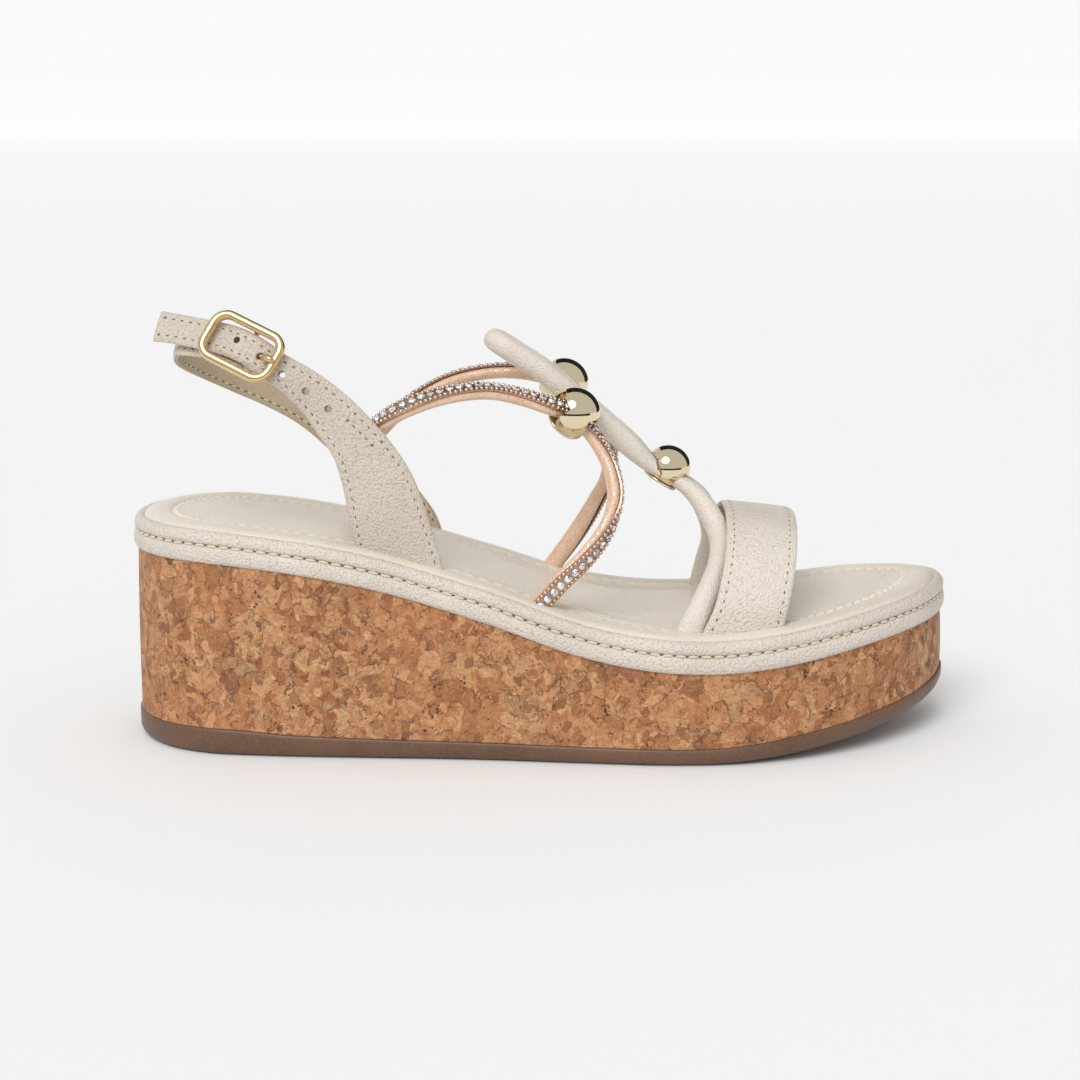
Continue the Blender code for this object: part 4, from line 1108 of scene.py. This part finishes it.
def pad_height(x, y, edge, along):
    """Height over the deck of the padded footbed, edge being the distance in from the outline."""
    between = abs(math.sin(math.pi * along / GATHER_PITCH))
    channel = STITCH_INSET - 0.5 * between
    if edge < CROWN_INSET:
        part = 1.0 - max(edge - RIM_START, 0.0) / (CROWN_INSET - RIM_START)
        height = 8.9 + 1.8 * math.sqrt(max(1.0 - part * part, 0.0))
    elif edge < channel:
        part = (edge - CROWN_INSET) / (channel - CROWN_INSET)
        height = 10.7 - 0.25 * part * part - (0.6 + 1.2 * (1.0 - between)) * part ** 4
    else:
        part = min((edge - channel) / 2.6, 1.0)
        puff = 0.5 * between * math.exp(-((edge - channel - 1.0) / 0.9) ** 2)
        height = 10.2 - (0.35 + 1.2 * (1.0 - between)) * (1.0 - part) ** 3 + puff
    if edge > CROWN_INSET:
        deepen = min((edge - CROWN_INSET) / 8.0, 1.0)
        hollow = math.exp(-((x + 88.0) / 26.0) ** 2 - (y / 16.0) ** 2)
        hollow += 0.8 * math.exp(-((x - 62.0) / 30.0) ** 2 - (y / 22.0) ** 2)
        height -= 0.55 * hollow * deepen
        # Long soft folds where the leather bends through the waist and beside the toes
        waist = math.exp(-((x - 18.0) / 34.0) ** 2)
        across = edge - 13.5 + 0.06 * x
        height -= 0.60 * waist * math.exp(-(across / 1.3) ** 2)
        height += 0.32 * waist * math.exp(-((across - 3.0) / 1.8) ** 2)
        height -= 0.50 * waist * math.exp(-((across - 6.0) / 1.2) ** 2)
    return height


def make_pad():
    """Foam-backed leather pad: a crowned rim, a gathered sewn channel and a flat inside."""
    insets = [
        2.0, 2.15, 2.5, 3.0, 3.6, 4.3, 5.2, 6.2, 7.2, 8.2, 9.0, 9.6, 10.0, 10.3, 10.55, 10.8, 11.05, 11.3, 11.6, 12.0,
        12.5, 13.1, 13.8, 14.6, 15.6, 16.8, 18.2,
    ]
    line = make_outline(SIDE_POINTS * 5)
    closed = line + [line[0]]
    along, total = [], 0.0
    for a, b in zip(closed, closed[1:]):
        along.append(total)
        total += (b - a).length
    stretch = round(total / GATHER_PITCH) * GATHER_PITCH / total
    rows = []
    for inset in insets:
        points = ring(inset, deck, line)
        rows.append([
            p + Vector((0.0, 0.0, pad_height(p.x, p.y, inset, along[i] * stretch)))
            for i, p in enumerate(points)
        ])
    count = len(line)
    pad, bm = circle_mesh(count, 0.1)
    outer = list(bm.verts)
    below = ring(2.9, above(6.0), line)
    for vertex, place in zip(outer, below):
        vertex.co = place * MM
    loops = [outer]
    for row in rows:
        loops.append([bm.verts.new(p * MM) for p in row])
    skin(bm, loops, loops[1:])
    # The flat inside: bands of a ladder from side to side, each rung subdivided
    inner = loops[-1]
    half = count // 2
    rungs = 18
    edge_in = insets[-1]
    first_row = rows[-1]
    lines = []
    for i in range(1, half):
        a, b = first_row[i], first_row[count - i]
        width = (b - a).length
        verts = [inner[i]]
        for k in range(1, rungs):
            t = k / rungs
            flat = a.lerp(b, t)
            edge = edge_in + width * min(t, 1.0 - t) * 0.92
            flat.z = deck(flat.x) + pad_height(flat.x, flat.y, edge, 0.0)
            verts.append(bm.verts.new(flat * MM))
        verts.append(inner[count - i])
        lines.append(verts)
    for near, far in zip(lines, lines[1:]):
        for k in range(rungs):
            bm.faces.new((near[k], near[k + 1], far[k + 1], far[k]))
    for tip, verts in ((inner[0], lines[0]), (inner[half], lines[-1])):
        for k in range(rungs):
            bm.faces.new((tip, verts[k], verts[k + 1]))
    # Flat underside
    ladder(bm, outer)
    close_mesh(pad, bm)
    rounded(pad, 60)
    finish_piece(pad, "footbed_pad", footbed_leather, "sandal", ("sock_lining",))
    threads, holes = [], []
    spacing = total / round(total / GATHER_PITCH)
    places = rim_path(STITCH_INSET, 9.55, spacing)
    for i, (here, run, out) in enumerate(places):
        there = places[(i + 1) % len(places)][0]
        up = Vector((0.0, 0.0, 1.0))
        low = pad_height(here.x, here.y, STITCH_INSET, 0.0) - 9.55 + 0.35
        threads.append(stand(here.lerp(there, 0.5) + up * (low + 0.3) - out * 0.3, there - here, up, (2.9, 0.6, 0.5)))
        # A small dark capsule at each stitch end paints the shade of its needle hole
        holes.append(stand(here + up * (low - 0.02), run, up, (0.75, 0.6, 0.4)))
    row = copies(model_once(capsule), threads)
    finish_piece(row, "footbed_stitches", pale_thread, "sandal")
    marks = copies(model_once(capsule), holes)
    finish_piece(marks, "footbed_needle_hole_shade", needle_hole_shade, "sandal")


# ---------------------------------------------------------------- straps

SEAM_INSET = 2.15  # from a strap's edge to its stitches


def strap_seam(band, side, s_low, s_high, face="outer", inset=SEAM_INSET, pitch=2.8, base=0.78, crown=0.3):
    """Stitch spots parallel to an edge: side 0 is the first edge line, 1 the second."""
    fine = []
    count = 300
    for i in range(count + 1):
        s = s_low + (s_high - s_low) * i / count
        t = inset / band.width(s)
        t = t if side == 0 else 1.0 - t
        if face == "outer":
            fine.append((band.at(s, t, turned_edge(band, s, t, base, crown)), band.at(s, t, 1.0) - band.at(s, t, 0.0)))
        else:
            fine.append((band.at(s, t, -0.86), band.at(s, t, 0.0) - band.at(s, t, 1.0)))
    total = length_of([p for p, _ in fine])
    number = max(int(round(total / pitch)), 1)
    spots, j, walked = [], 0, 0.0
    for i in range(number + 1):
        target = total * i / number
        while j < count - 1 and walked + (fine[j + 1][0] - fine[j][0]).length < target:
            walked += (fine[j + 1][0] - fine[j][0]).length
            j += 1
        part = (target - walked) / max((fine[j + 1][0] - fine[j][0]).length, 1e-9)
        part = min(max(part, 0.0), 1.0)
        spots.append((fine[j][0].lerp(fine[j + 1][0], part), fine[j][1].lerp(fine[j + 1][1], part).normalized()))
    return spots


def add_stitches(name, rows, finish, goes):
    """Threads of several stitch rows, and dark capsules that paint the shade of their needle hole openings, as two
    pieces.
    """
    threads, holes = [], []
    for spots in rows:
        step = (spots[1][0] - spots[0][0]).length
        a, b = stitch_row(spots, step * 0.62, 0.46, 1.15, sink=0.02)
        threads += a
        holes += b
    small = model_once(capsule)
    finish_piece(copies(small, threads), name + "_stitches", finish, goes)
    finish_piece(copies(small, holes), name + "_needle_hole_shade", needle_hole_shade, goes)


def punch(obj, places):
    """Round holes through a strap: each place is (centre, direction, radius across, radius along)."""
    for centre, direction, across, along in places:
        tool = begin(bpy.ops.mesh.primitive_cylinder_add, vertices=20, radius=1.0, depth=1.0)
        turn = stand(centre, u_axis, direction, (along, across, 7.0))
        lay(tool, turn)
        faces_out(tool)
        cut_away(obj, tool, "hole")
    rounded(obj, 50)


def make_toe_band():
    feet = [tuple(Vector(p) + Vector((0.0, side, -2.2)) for p in pair) for side, pair in (
        (-0.1, TOE_BAND[0]), (0.1, TOE_BAND[-1]))]
    band = Band([feet[0]] + TOE_BAND + [feet[1]], -1)
    upper = leather_band(band, 150, 26, 0.78, 0.34, 0.62)
    finish_piece(upper, "toe_band_leather", band_cream, "sandal", ("toe_band_outer",))
    inner = band_lining(band, 110, 14, 0.012)
    finish_piece(inner, "toe_band_lining_leather", lining, "sandal", ("toe_band_lining",))
    rows = [strap_seam(band, side, 0.045, 0.955, inset=2.3, pitch=3.0, crown=0.34) for side in (0, 1)]
    add_stitches("toe_band", rows, cream_thread, "sandal")


def make_closing_strap():
    """Pierced strap: the lateral quarter narrowing to the strap that runs through the buckle to its tail."""
    pairs = LATERAL_QUARTER + [across_buckle(u, v, h, STRAP_WIDTH) for u, v, h in STRAP_IN_BUCKLE]
    pairs.append([on_buckle(*corner) for corner in TAIL_CORNERS])
    band = Band(pairs, 1)
    holes = [
        (Vector((-68.5, -32.0, 108.9)), Vector((0.0, -1.0, 0.1)), 1.05, 1.05),
        (Vector((-62.4, -31.5, 103.7)), Vector((0.0, -1.0, 0.1)), 1.05, 1.05),
        (on_buckle(-2.6, 1.2, 2.0), buckle_axes.col[2], 1.05, 1.05),
        (on_buckle(13.6, -1.4, 2.0), buckle_axes.col[2], 1.05, 1.05),
        (on_buckle(6.6, 0.0, 2.0), buckle_axes.col[2], 1.35, 1.7),
    ]
    upper = leather_band(band, 260, 22, 0.72, 0.28, 0.55)
    punch(upper, holes)
    finish_piece(upper, "closing_strap_leather", cream, "closing strap",
                 ("quarter_outer_lateral", "strap_outer"))
    inner = band_lining(band, 220, 10, 0.03)
    punch(inner, holes)
    finish_piece(inner, "closing_strap_lining", lining, "closing strap",
                 ("quarter_lining_lateral", "strap_lining"))
    rows = [strap_seam(band, side, 0.03, 0.985, inset=2.1, base=0.72, crown=0.28) for side in (0, 1)]
    end = [(rows[0][-1][0], rows[0][-1][1]), (rows[1][-1][0], rows[1][-1][1])]
    across = [(end[0][0].lerp(end[1][0], k / 2), end[0][1]) for k in range(3)]
    rows.append(across)
    # The sewn box beside the front edge that holds the stone strap's end
    low, high = (min((k / 400 for k in range(401)), key=lambda s: (band.at(s, 0.1) - Vector(spot)).length)
                 for spot in ((-47.0, -33.0, 94.5), (-54.6, -32.0, 102.8)))
    low, high = sorted((low, high))
    inner_row = strap_seam(band, 0, low, high, inset=5.0, base=0.72, crown=0.28)
    outer_row = strap_seam(band, 0, low, high, inset=2.1, base=0.72, crown=0.28)
    rows += [inner_row, [outer_row[0], inner_row[0]], [outer_row[-1], inner_row[-1]]]
    add_stitches("closing_strap", rows, cream_thread, "closing strap")


def make_heel_strap():
    """Band from the medial quarter round the heel, folded back over the buckle's centre bar."""
    around_heel = [across_at(*station) for station in HEEL_BAND]
    approach = [(-19.4, -4.3, -2.6), (-14.0, -2.5, -1.8), (-10.0, -1.2, -1.4), (-6.4, -0.4, -1.35)]
    under = [(-3.6, -0.1, -1.75)]
    fold = []
    for degrees in range(-100, 101, 25):
        turn = math.radians(degrees)
        fold.append((FOLD_RADIUS * math.cos(turn), 0.0, FOLD_RADIUS * math.sin(turn)))
    back = [(-2.9, 0.0, 1.62), (-5.6, 0.0, 0.95)]
    start = MEDIAL_QUARTER + around_heel[1:]
    whole = start + [across_buckle(*p, 10.5) for p in approach + under + fold + back]
    covered = start + [across_buckle(*p, 10.5) for p in approach + under]
    band = Band(whole, -1)
    upper = leather_band(band, 320, 18, 0.74, 0.2, 0.55)
    slot = begin(bpy.ops.mesh.primitive_cube_add, size=1.0)
    turn = Matrix.Translation(on_buckle(0.4, 0.0, 0.0)) @ buckle_axes.to_4x4() @ Matrix.Diagonal((5.4, 2.4, 5.6, 1.0))
    lay(slot, turn)
    cut_away(upper, slot, "slot")
    rounded(upper, 50)
    finish_piece(
        upper, "heel_strap_leather", cream, "heel strap", ("quarter_outer_medial", "heel_band_outer"))
    inside = Band(covered, -1)
    inner = band_lining(inside, 240, 10, 0.03)
    finish_piece(
        inner, "heel_strap_lining", lining, "heel strap", ("quarter_lining_medial", "heel_band_lining"))
    rows = [strap_seam(inside, side, 0.03, 0.99, inset=2.1, base=0.74, crown=0.2) for side in (0, 1)]
    add_stitches("heel_strap", rows, cream_thread, "heel strap")
    rows = [strap_seam(inside, side, 0.03, 0.94, face="lining", inset=2.1) for side in (0, 1)]
    add_stitches("heel_strap_inside", rows, cream_thread, "heel strap")


# ---------------------------------------------------------------- cords and trims

CORD_SIDE, CORD_DEPTH = 2.7, 1.9  # half sizes of the slightly flat suede cord
STONE_PITCH = 2.75
BEAD_PITCH = 1.45


def make_instep_cord():
    knots = [(41.0, -35.6, 34.4, 1.0)] + INSTEP_CORD + [(50.0, 32.6, 34.4, 1.0)]
    path = smooth(knots, 320)
    places = [Vector(p[:3]) for p in path]
    walked, total = 0.0, length_of(places)
    radii = []
    for i, p in enumerate(path):
        walked += (places[i] - places[i - 1]).length if i else 0.0
        from_end = min(walked, total - walked)
        foot = max(1.0 - from_end / 26.0, 0.0)
        turned = min(max(1.6 - from_end / 26.0, 0.0), 1.0)
        beside = Vector((0.0, -1.0 if walked < total / 2 else 1.0, 0.25))
        out = Vector((0.64, 0.0, 0.77)).lerp(beside, turned * turned * (3.0 - 2.0 * turned))
        wrinkle = 0.05 * math.sin(walked * 1.9) * math.sin(walked * 0.37 + 1.0)
        full = 3.0 + 0.35 * (1.0 - turned)
        radii.append((full * (1.0 + 0.38 * foot) + wrinkle, (full * (1.0 - 0.42 * foot) + wrinkle) * p[3], out))
    cord = soft_tube(places, radii, 28)
    finish_piece(cord, "instep_cord_leather", cord_leather, "sandal", ("instep_cord",))


def make_stone_strap(side, route):
    """Suede cord with a flat trim on it: clear cut stones between two rows of fine metal beads."""
    last, out = Vector(route[-1][0]), route[-1][1]
    sink = (last - Vector(route[-2][0])).normalized() * 4.5
    knots = [(*place, *Vector(out).normalized()) for place, out in route]
    knots.append((*(last + sink), *Vector(out).normalized()))
    path = smooth(knots, 270)
    places = [Vector(p[:3]) for p in path]
    outs = []
    for i, p in enumerate(path):
        run = (places[min(i + 1, len(path) - 1)] - places[max(i - 1, 0)]).normalized()
        out = Vector(p[3:])
        outs.append((out - run * out.dot(run)).normalized())
    radii = [(CORD_SIDE, CORD_DEPTH, out) for out in outs]
    cord = soft_tube(places, radii, 20)
    finish_piece(cord, f"stone_cord_suede_{side}", suede, "sandal", (f"stone_cord_{side}",))
    length = length_of(places)

    def place(distance, across=0.0, rise=0.0):
        spot = distance / length * (len(places) - 1)
        i = min(max(int(spot), 0), len(places) - 2)
        part = spot - i
        centre = places[i].lerp(places[i + 1], part)
        out = outs[i].lerp(outs[i + 1], part).normalized()
        run = (places[i + 1] - places[i]).normalized()
        return centre + run.cross(out) * across + out * rise, run, out

    def tape_place(s, t):
        across = (t - 0.5) * 5.2
        rise = CORD_DEPTH + 0.42 - 0.35 * (abs(t - 0.5) * 2) ** 2
        return place(s * length * 0.996 + length * 0.002, across, rise)[0]

    tape = grid_sheet(200, 7, tape_place)
    # The wall grows inwards, towards the cord, whichever way the sheet's faces came out
    _, _, out = place(length / 2)
    if tape.data.polygons[len(tape.data.polygons) // 2].normal.dot(out) < 0:
        tape.data.flip_normals()
    tape = close_sheet(tape, 0.4, 0.0)
    finish_piece(tape, f"stone_tape_{side}", setting, "sandal", (f"stone_trim_{side}",))
    gems, cups, beads = [], [], []
    count = int(length / STONE_PITCH)
    for i in range(count):
        centre, run, out = place((i + 0.5) * length / count, 0.0, CORD_DEPTH + 0.36)
        gems.append(stand(centre, run, out, (2.35, 2.35, 1.9)))
        cups.append(stand(centre + out * 0.1, run, out, (2.62, 2.62, 0.66)))
    number = int(length / BEAD_PITCH)
    for i in range(number):
        for across in (-1.95, 1.95):
            centre, run, out = place((i + 0.5) * length / number, across, CORD_DEPTH + 0.3)
            beads.append(stand(centre, run, out, (1.3, 1.3, 1.3)))
    finish_piece(copies(model_once(cut_stone), gems, False), f"cut_stones_{side}", stones, "sandal")
    finish_piece(copies(model_once(capsule), cups), f"stone_cups_{side}", setting, "sandal")
    finish_piece(copies(model_once(bead), beads), f"trim_beads_{side}", rose_gold, "sandal")


# ---------------------------------------------------------------- metal


def facing_frame(direction, along):
    z = Vector(direction).normalized()
    x = Vector(along)
    x = (x - z * x.dot(z)).normalized()
    return Matrix((x, z.cross(x), z)).transposed()


def make_ball(side, outer, centre, out, passages):
    """Polished hollow ball cut off at its lower edge, notched for the cords, over its base plate."""
    lower_edge, wall = 3.9, 0.9
    turn = facing_frame(out, passages[0][0])
    place = Matrix.Translation(Vector(centre)) @ turn.to_4x4()
    cap = begin(bpy.ops.mesh.primitive_uv_sphere_add, segments=96, ring_count=64, radius=outer * MM)
    bpy.ops.object.mode_set(mode="EDIT")
    bpy.ops.mesh.select_all(action="SELECT")
    bpy.ops.mesh.bisect(plane_co=(0.0, 0.0, -lower_edge * MM), plane_no=(0.0, 0.0, 1.0), clear_inner=True)
    bpy.ops.object.mode_set(mode="OBJECT")
    solid = cap.modifiers.new("wall", "SOLIDIFY")
    solid.thickness = wall * MM
    solid.offset = -1.0
    apply_modifiers(cap)
    faces_out(cap)
    for vertex in cap.data.vertices:
        vertex.co = place @ (vertex.co / MM) * MM
    for passage, notch_width, notch_top in passages:
        way = facing_frame(out, passage)
        middle = Vector(centre) + way @ Vector((6.0, 0.0, (notch_top - 6.0) / 2))
        tool = begin(bpy.ops.mesh.primitive_cube_add, size=1.0)
        soften(tool, "round", 0.12, 3)
        apply_modifiers(tool)
        box = Matrix.Translation(middle) @ way.to_4x4() @ Matrix.Diagonal((12.0, notch_width, notch_top + 6.0, 1.0))
        lay(tool, box)
        cut_away(cap, tool, "notch")
    rounded(cap, 40)
    finish_piece(cap, f"gold_ball_{side}", gold, "sandal", (f"ball_cap_{side}",))
    bpy.ops.object.select_all(action="DESELECT")
    bpy.ops.mesh.primitive_cylinder_add(
        vertices=64, radius=math.sqrt(outer * outer - lower_edge * lower_edge) - 0.2, depth=0.8)
    plate = bpy.context.object
    soften(plate, "rounded edge", 0.25, 3)
    apply_modifiers(plate)
    seat = place @ Matrix.Translation((0.0, 0.0, -4.6))
    lay(plate, seat)
    rounded(plate, 40)
    finish_piece(plate, f"gold_ball_base_{side}", gold, "sandal", (f"ball_base_{side}",))


def make_buckle():
    """Rounded buckle frame with its centre bar, and the prong on the bar."""
    half_u, half_v, corner = 11.3, 6.8, 4.2
    path = []
    for index, (cu, cv) in enumerate(((1, 1), (-1, 1), (-1, -1), (1, -1))):
        for step in range(17):
            turn = math.radians(90 * index + 90 * step / 16)
            path.append(Vector((
                cu * (half_u - corner) + corner * math.cos(turn), cv * (half_v - corner) + corner * math.sin(turn))))
    section = []
    for k in range(24):
        turn = 2 * math.pi * k / 24
        c, s = math.cos(turn), math.sin(turn)
        across = 1.3 * math.copysign(abs(c) ** 0.8, c)
        lift = 4.7 + 1.5 * math.copysign(abs(s) ** 0.8, s)
        section.append((across, lift))
    frame_obj, bm = circle_mesh(24, 1.0)
    loops = [list(bm.verts)]
    for _ in path[1:]:
        loops.append([bm.verts.new() for _ in section])
    place = Matrix.Translation(BUCKLE_CENTRE) @ buckle_axes.to_4x4()
    for i, here in enumerate(path):
        run = (path[(i + 1) % len(path)] - path[i - 1]).normalized()
        side = Vector((run.y, -run.x))
        for vertex, (across, lift) in zip(loops[i], section):
            spot = here + side * across
            vertex.co = (place @ Vector((spot.x, spot.y, lift))) * MM
    skin(bm, loops, loops[1:] + loops[:1])
    bmesh.ops.remove_doubles(bm, verts=bm.verts, dist=0.000001)
    close_mesh(frame_obj, bm)
    rounded(frame_obj, 60)
    bar_points = [
        (0.0, -6.8, 4.4), (0.0, -6.8, 0.9), (0.0, -6.3, 0.26), (0.0, -5.6, 0.0), (0.0, 0.0, 0.0), (0.0, 5.6, 0.0),
        (0.0, 6.3, 0.26), (0.0, 6.8, 0.9), (0.0, 6.8, 4.4),
    ]
    bar = soft_tube([on_buckle(*p) for p in smooth(bar_points, 70)], [(0.8, 0.8)] * 70, 16)
    whole = one_mesh([frame_obj, bar])
    finish_piece(whole, "gold_buckle_frame", buckle_gold, "buckle", ("buckle_frame",))
    prong_points = [
        (1.45, 0.0, -0.4), (2.8, 0.0, -0.55), (4.3, 0.0, -0.2), (5.5, 0.0, 0.7), (6.6, 0.0, 2.2),
        (7.7, 0.0, 4.2), (8.7, 0.0, 6.0), (9.8, 0.0, 6.85), (11.0, 0.0, 6.95), (12.0, 0.0, 6.9),
    ]
    fine = smooth(prong_points, 60)
    sizes = []
    for i in range(60):
        near_tip = max((i - 52) / 7, 0.0)
        sizes.append((1.0 * math.sqrt(max(1.0 - 0.75 * near_tip ** 2, 0.1)),) * 2)
    shank = soft_tube([on_buckle(*p) for p in fine], sizes, 16)
    eye = begin(
        bpy.ops.mesh.primitive_torus_add, major_segments=40, minor_segments=14, major_radius=1.5, minor_radius=0.42)
    flat = place @ Matrix.Rotation(math.pi / 2, 4, "X") @ Matrix.Diagonal((1.0, 1.0, 2.0, 1.0))
    lay(eye, flat)
    faces_out(eye)
    rounded(eye, 60)
    prong = one_mesh([shank, eye])
    finish_piece(prong, "gold_buckle_prong", buckle_gold, "prong", ("buckle_prong",))


# ---------------------------------------------------------------- the sandal

make_outsole()
make_cork()
make_binding()
make_pad()
make_toe_band()
make_closing_strap()
make_heel_strap()
make_instep_cord()
for side, route in STONE_STRAPS.items():
    make_stone_strap(side, route)
for side, (radius, centre, out, passages) in BALLS.items():
    make_ball(side, radius, centre, out, passages)
make_buckle()
for node, finish in (("platform_core", foam), ("insole_board", board), ("footbed_foam", foam)):
    kept = bpy.data.objects[node]
    kept.data.materials.clear()
    kept.data.materials.append(finish)

# ---------------------------------------------------------------- studio


def make_studio():
    """Pale paper sweep, a bright even room, soft key light, and dark cards that only polished metal shows."""
    sweep = begin(bpy.ops.mesh.primitive_grid_add, x_subdivisions=2, y_subdivisions=80, size=1.0)
    front, back, radius, tall = -6.0, 9.0, 3.0, 9.0
    for vertex in sweep.data.vertices:
        t = vertex.co.y + 0.5
        x = vertex.co.x * 30.0
        run = t * (back - front + tall)
        if run < back - front:
            vertex.co = (x, front + run, 0.0)
        else:
            up = run - (back - front)
            turn = min(up / radius, math.pi / 2)
            over = max(up - radius * math.pi / 2, 0.0)
            vertex.co = (x, back + radius * math.sin(turn), radius * (1 - math.cos(turn)) + over)
    rounded(sweep, 60)
    sweep.name = "paper_sweep"
    sweep.data.materials.append(floor_finish())
    world = bpy.data.worlds.new("studio")
    world.use_nodes = True
    world.node_tree.nodes["Background"].inputs["Color"].default_value = (1.0, 1.0, 1.0, 1.0)
    world.node_tree.nodes["Background"].inputs["Strength"].default_value = 0.62
    bpy.context.scene.world = world
    key = bpy.data.lights.new("key", "SUN")
    key.energy = 1.75
    key.angle = math.radians(35.0)
    light = bpy.data.objects.new("key", key)
    light.rotation_euler = Vector((0.35, 0.95, -1.0)).to_track_quat("-Z", "Y").to_euler()
    bpy.context.scene.collection.objects.link(light)
    dark = plain_foam_finish("black card", (0.006, 0.006, 0.006), (0.010, 0.010, 0.010))

    def card(name, place):
        """Dark card that shows only in reflections; place gives its points from 0 to 1 both ways."""
        obj = begin(bpy.ops.mesh.primitive_grid_add, x_subdivisions=24, y_subdivisions=2, size=1.0)
        for vertex in obj.data.vertices:
            vertex.co = place(vertex.co.x + 0.5, vertex.co.y + 0.5)
        obj.name = name
        obj.data.materials.append(dark)
        obj.visible_camera = False
        obj.visible_diffuse = False
        obj.visible_shadow = False
        obj.visible_transmission = False

    def arc(s, t):
        turn, tilt = math.radians(-12.0 + 125.0 * s), math.radians(20.0 + 46.0 * t)
        return Vector((0.0, 0.0, 0.1)) + 1.6 * Vector(
            (math.sin(tilt) * math.cos(turn), math.cos(tilt), math.sin(tilt) * math.sin(turn)))

    def low(s, t):
        turn = math.radians(-70.0 + 140.0 * s)
        return Vector((0.75 * math.sin(turn), -0.75 * math.cos(turn), 0.004 + 0.1 * t))

    card("card_arc_behind", arc)
    card("card_low_in_front", low)


make_studio()
scene = bpy.context.scene
scene.view_settings.view_transform = "Standard"
camera_data = bpy.data.cameras.new("camera")
camera_data.lens = 72.07
camera_data.sensor_width = 36.0
camera = bpy.data.objects.new("camera", camera_data)
camera.location = (-0.0016, -0.6489, 0.192)
camera.rotation_euler = (math.radians(90.0 - 11.6), 0.0, 0.0)
scene.collection.objects.link(camera)
scene.camera = camera
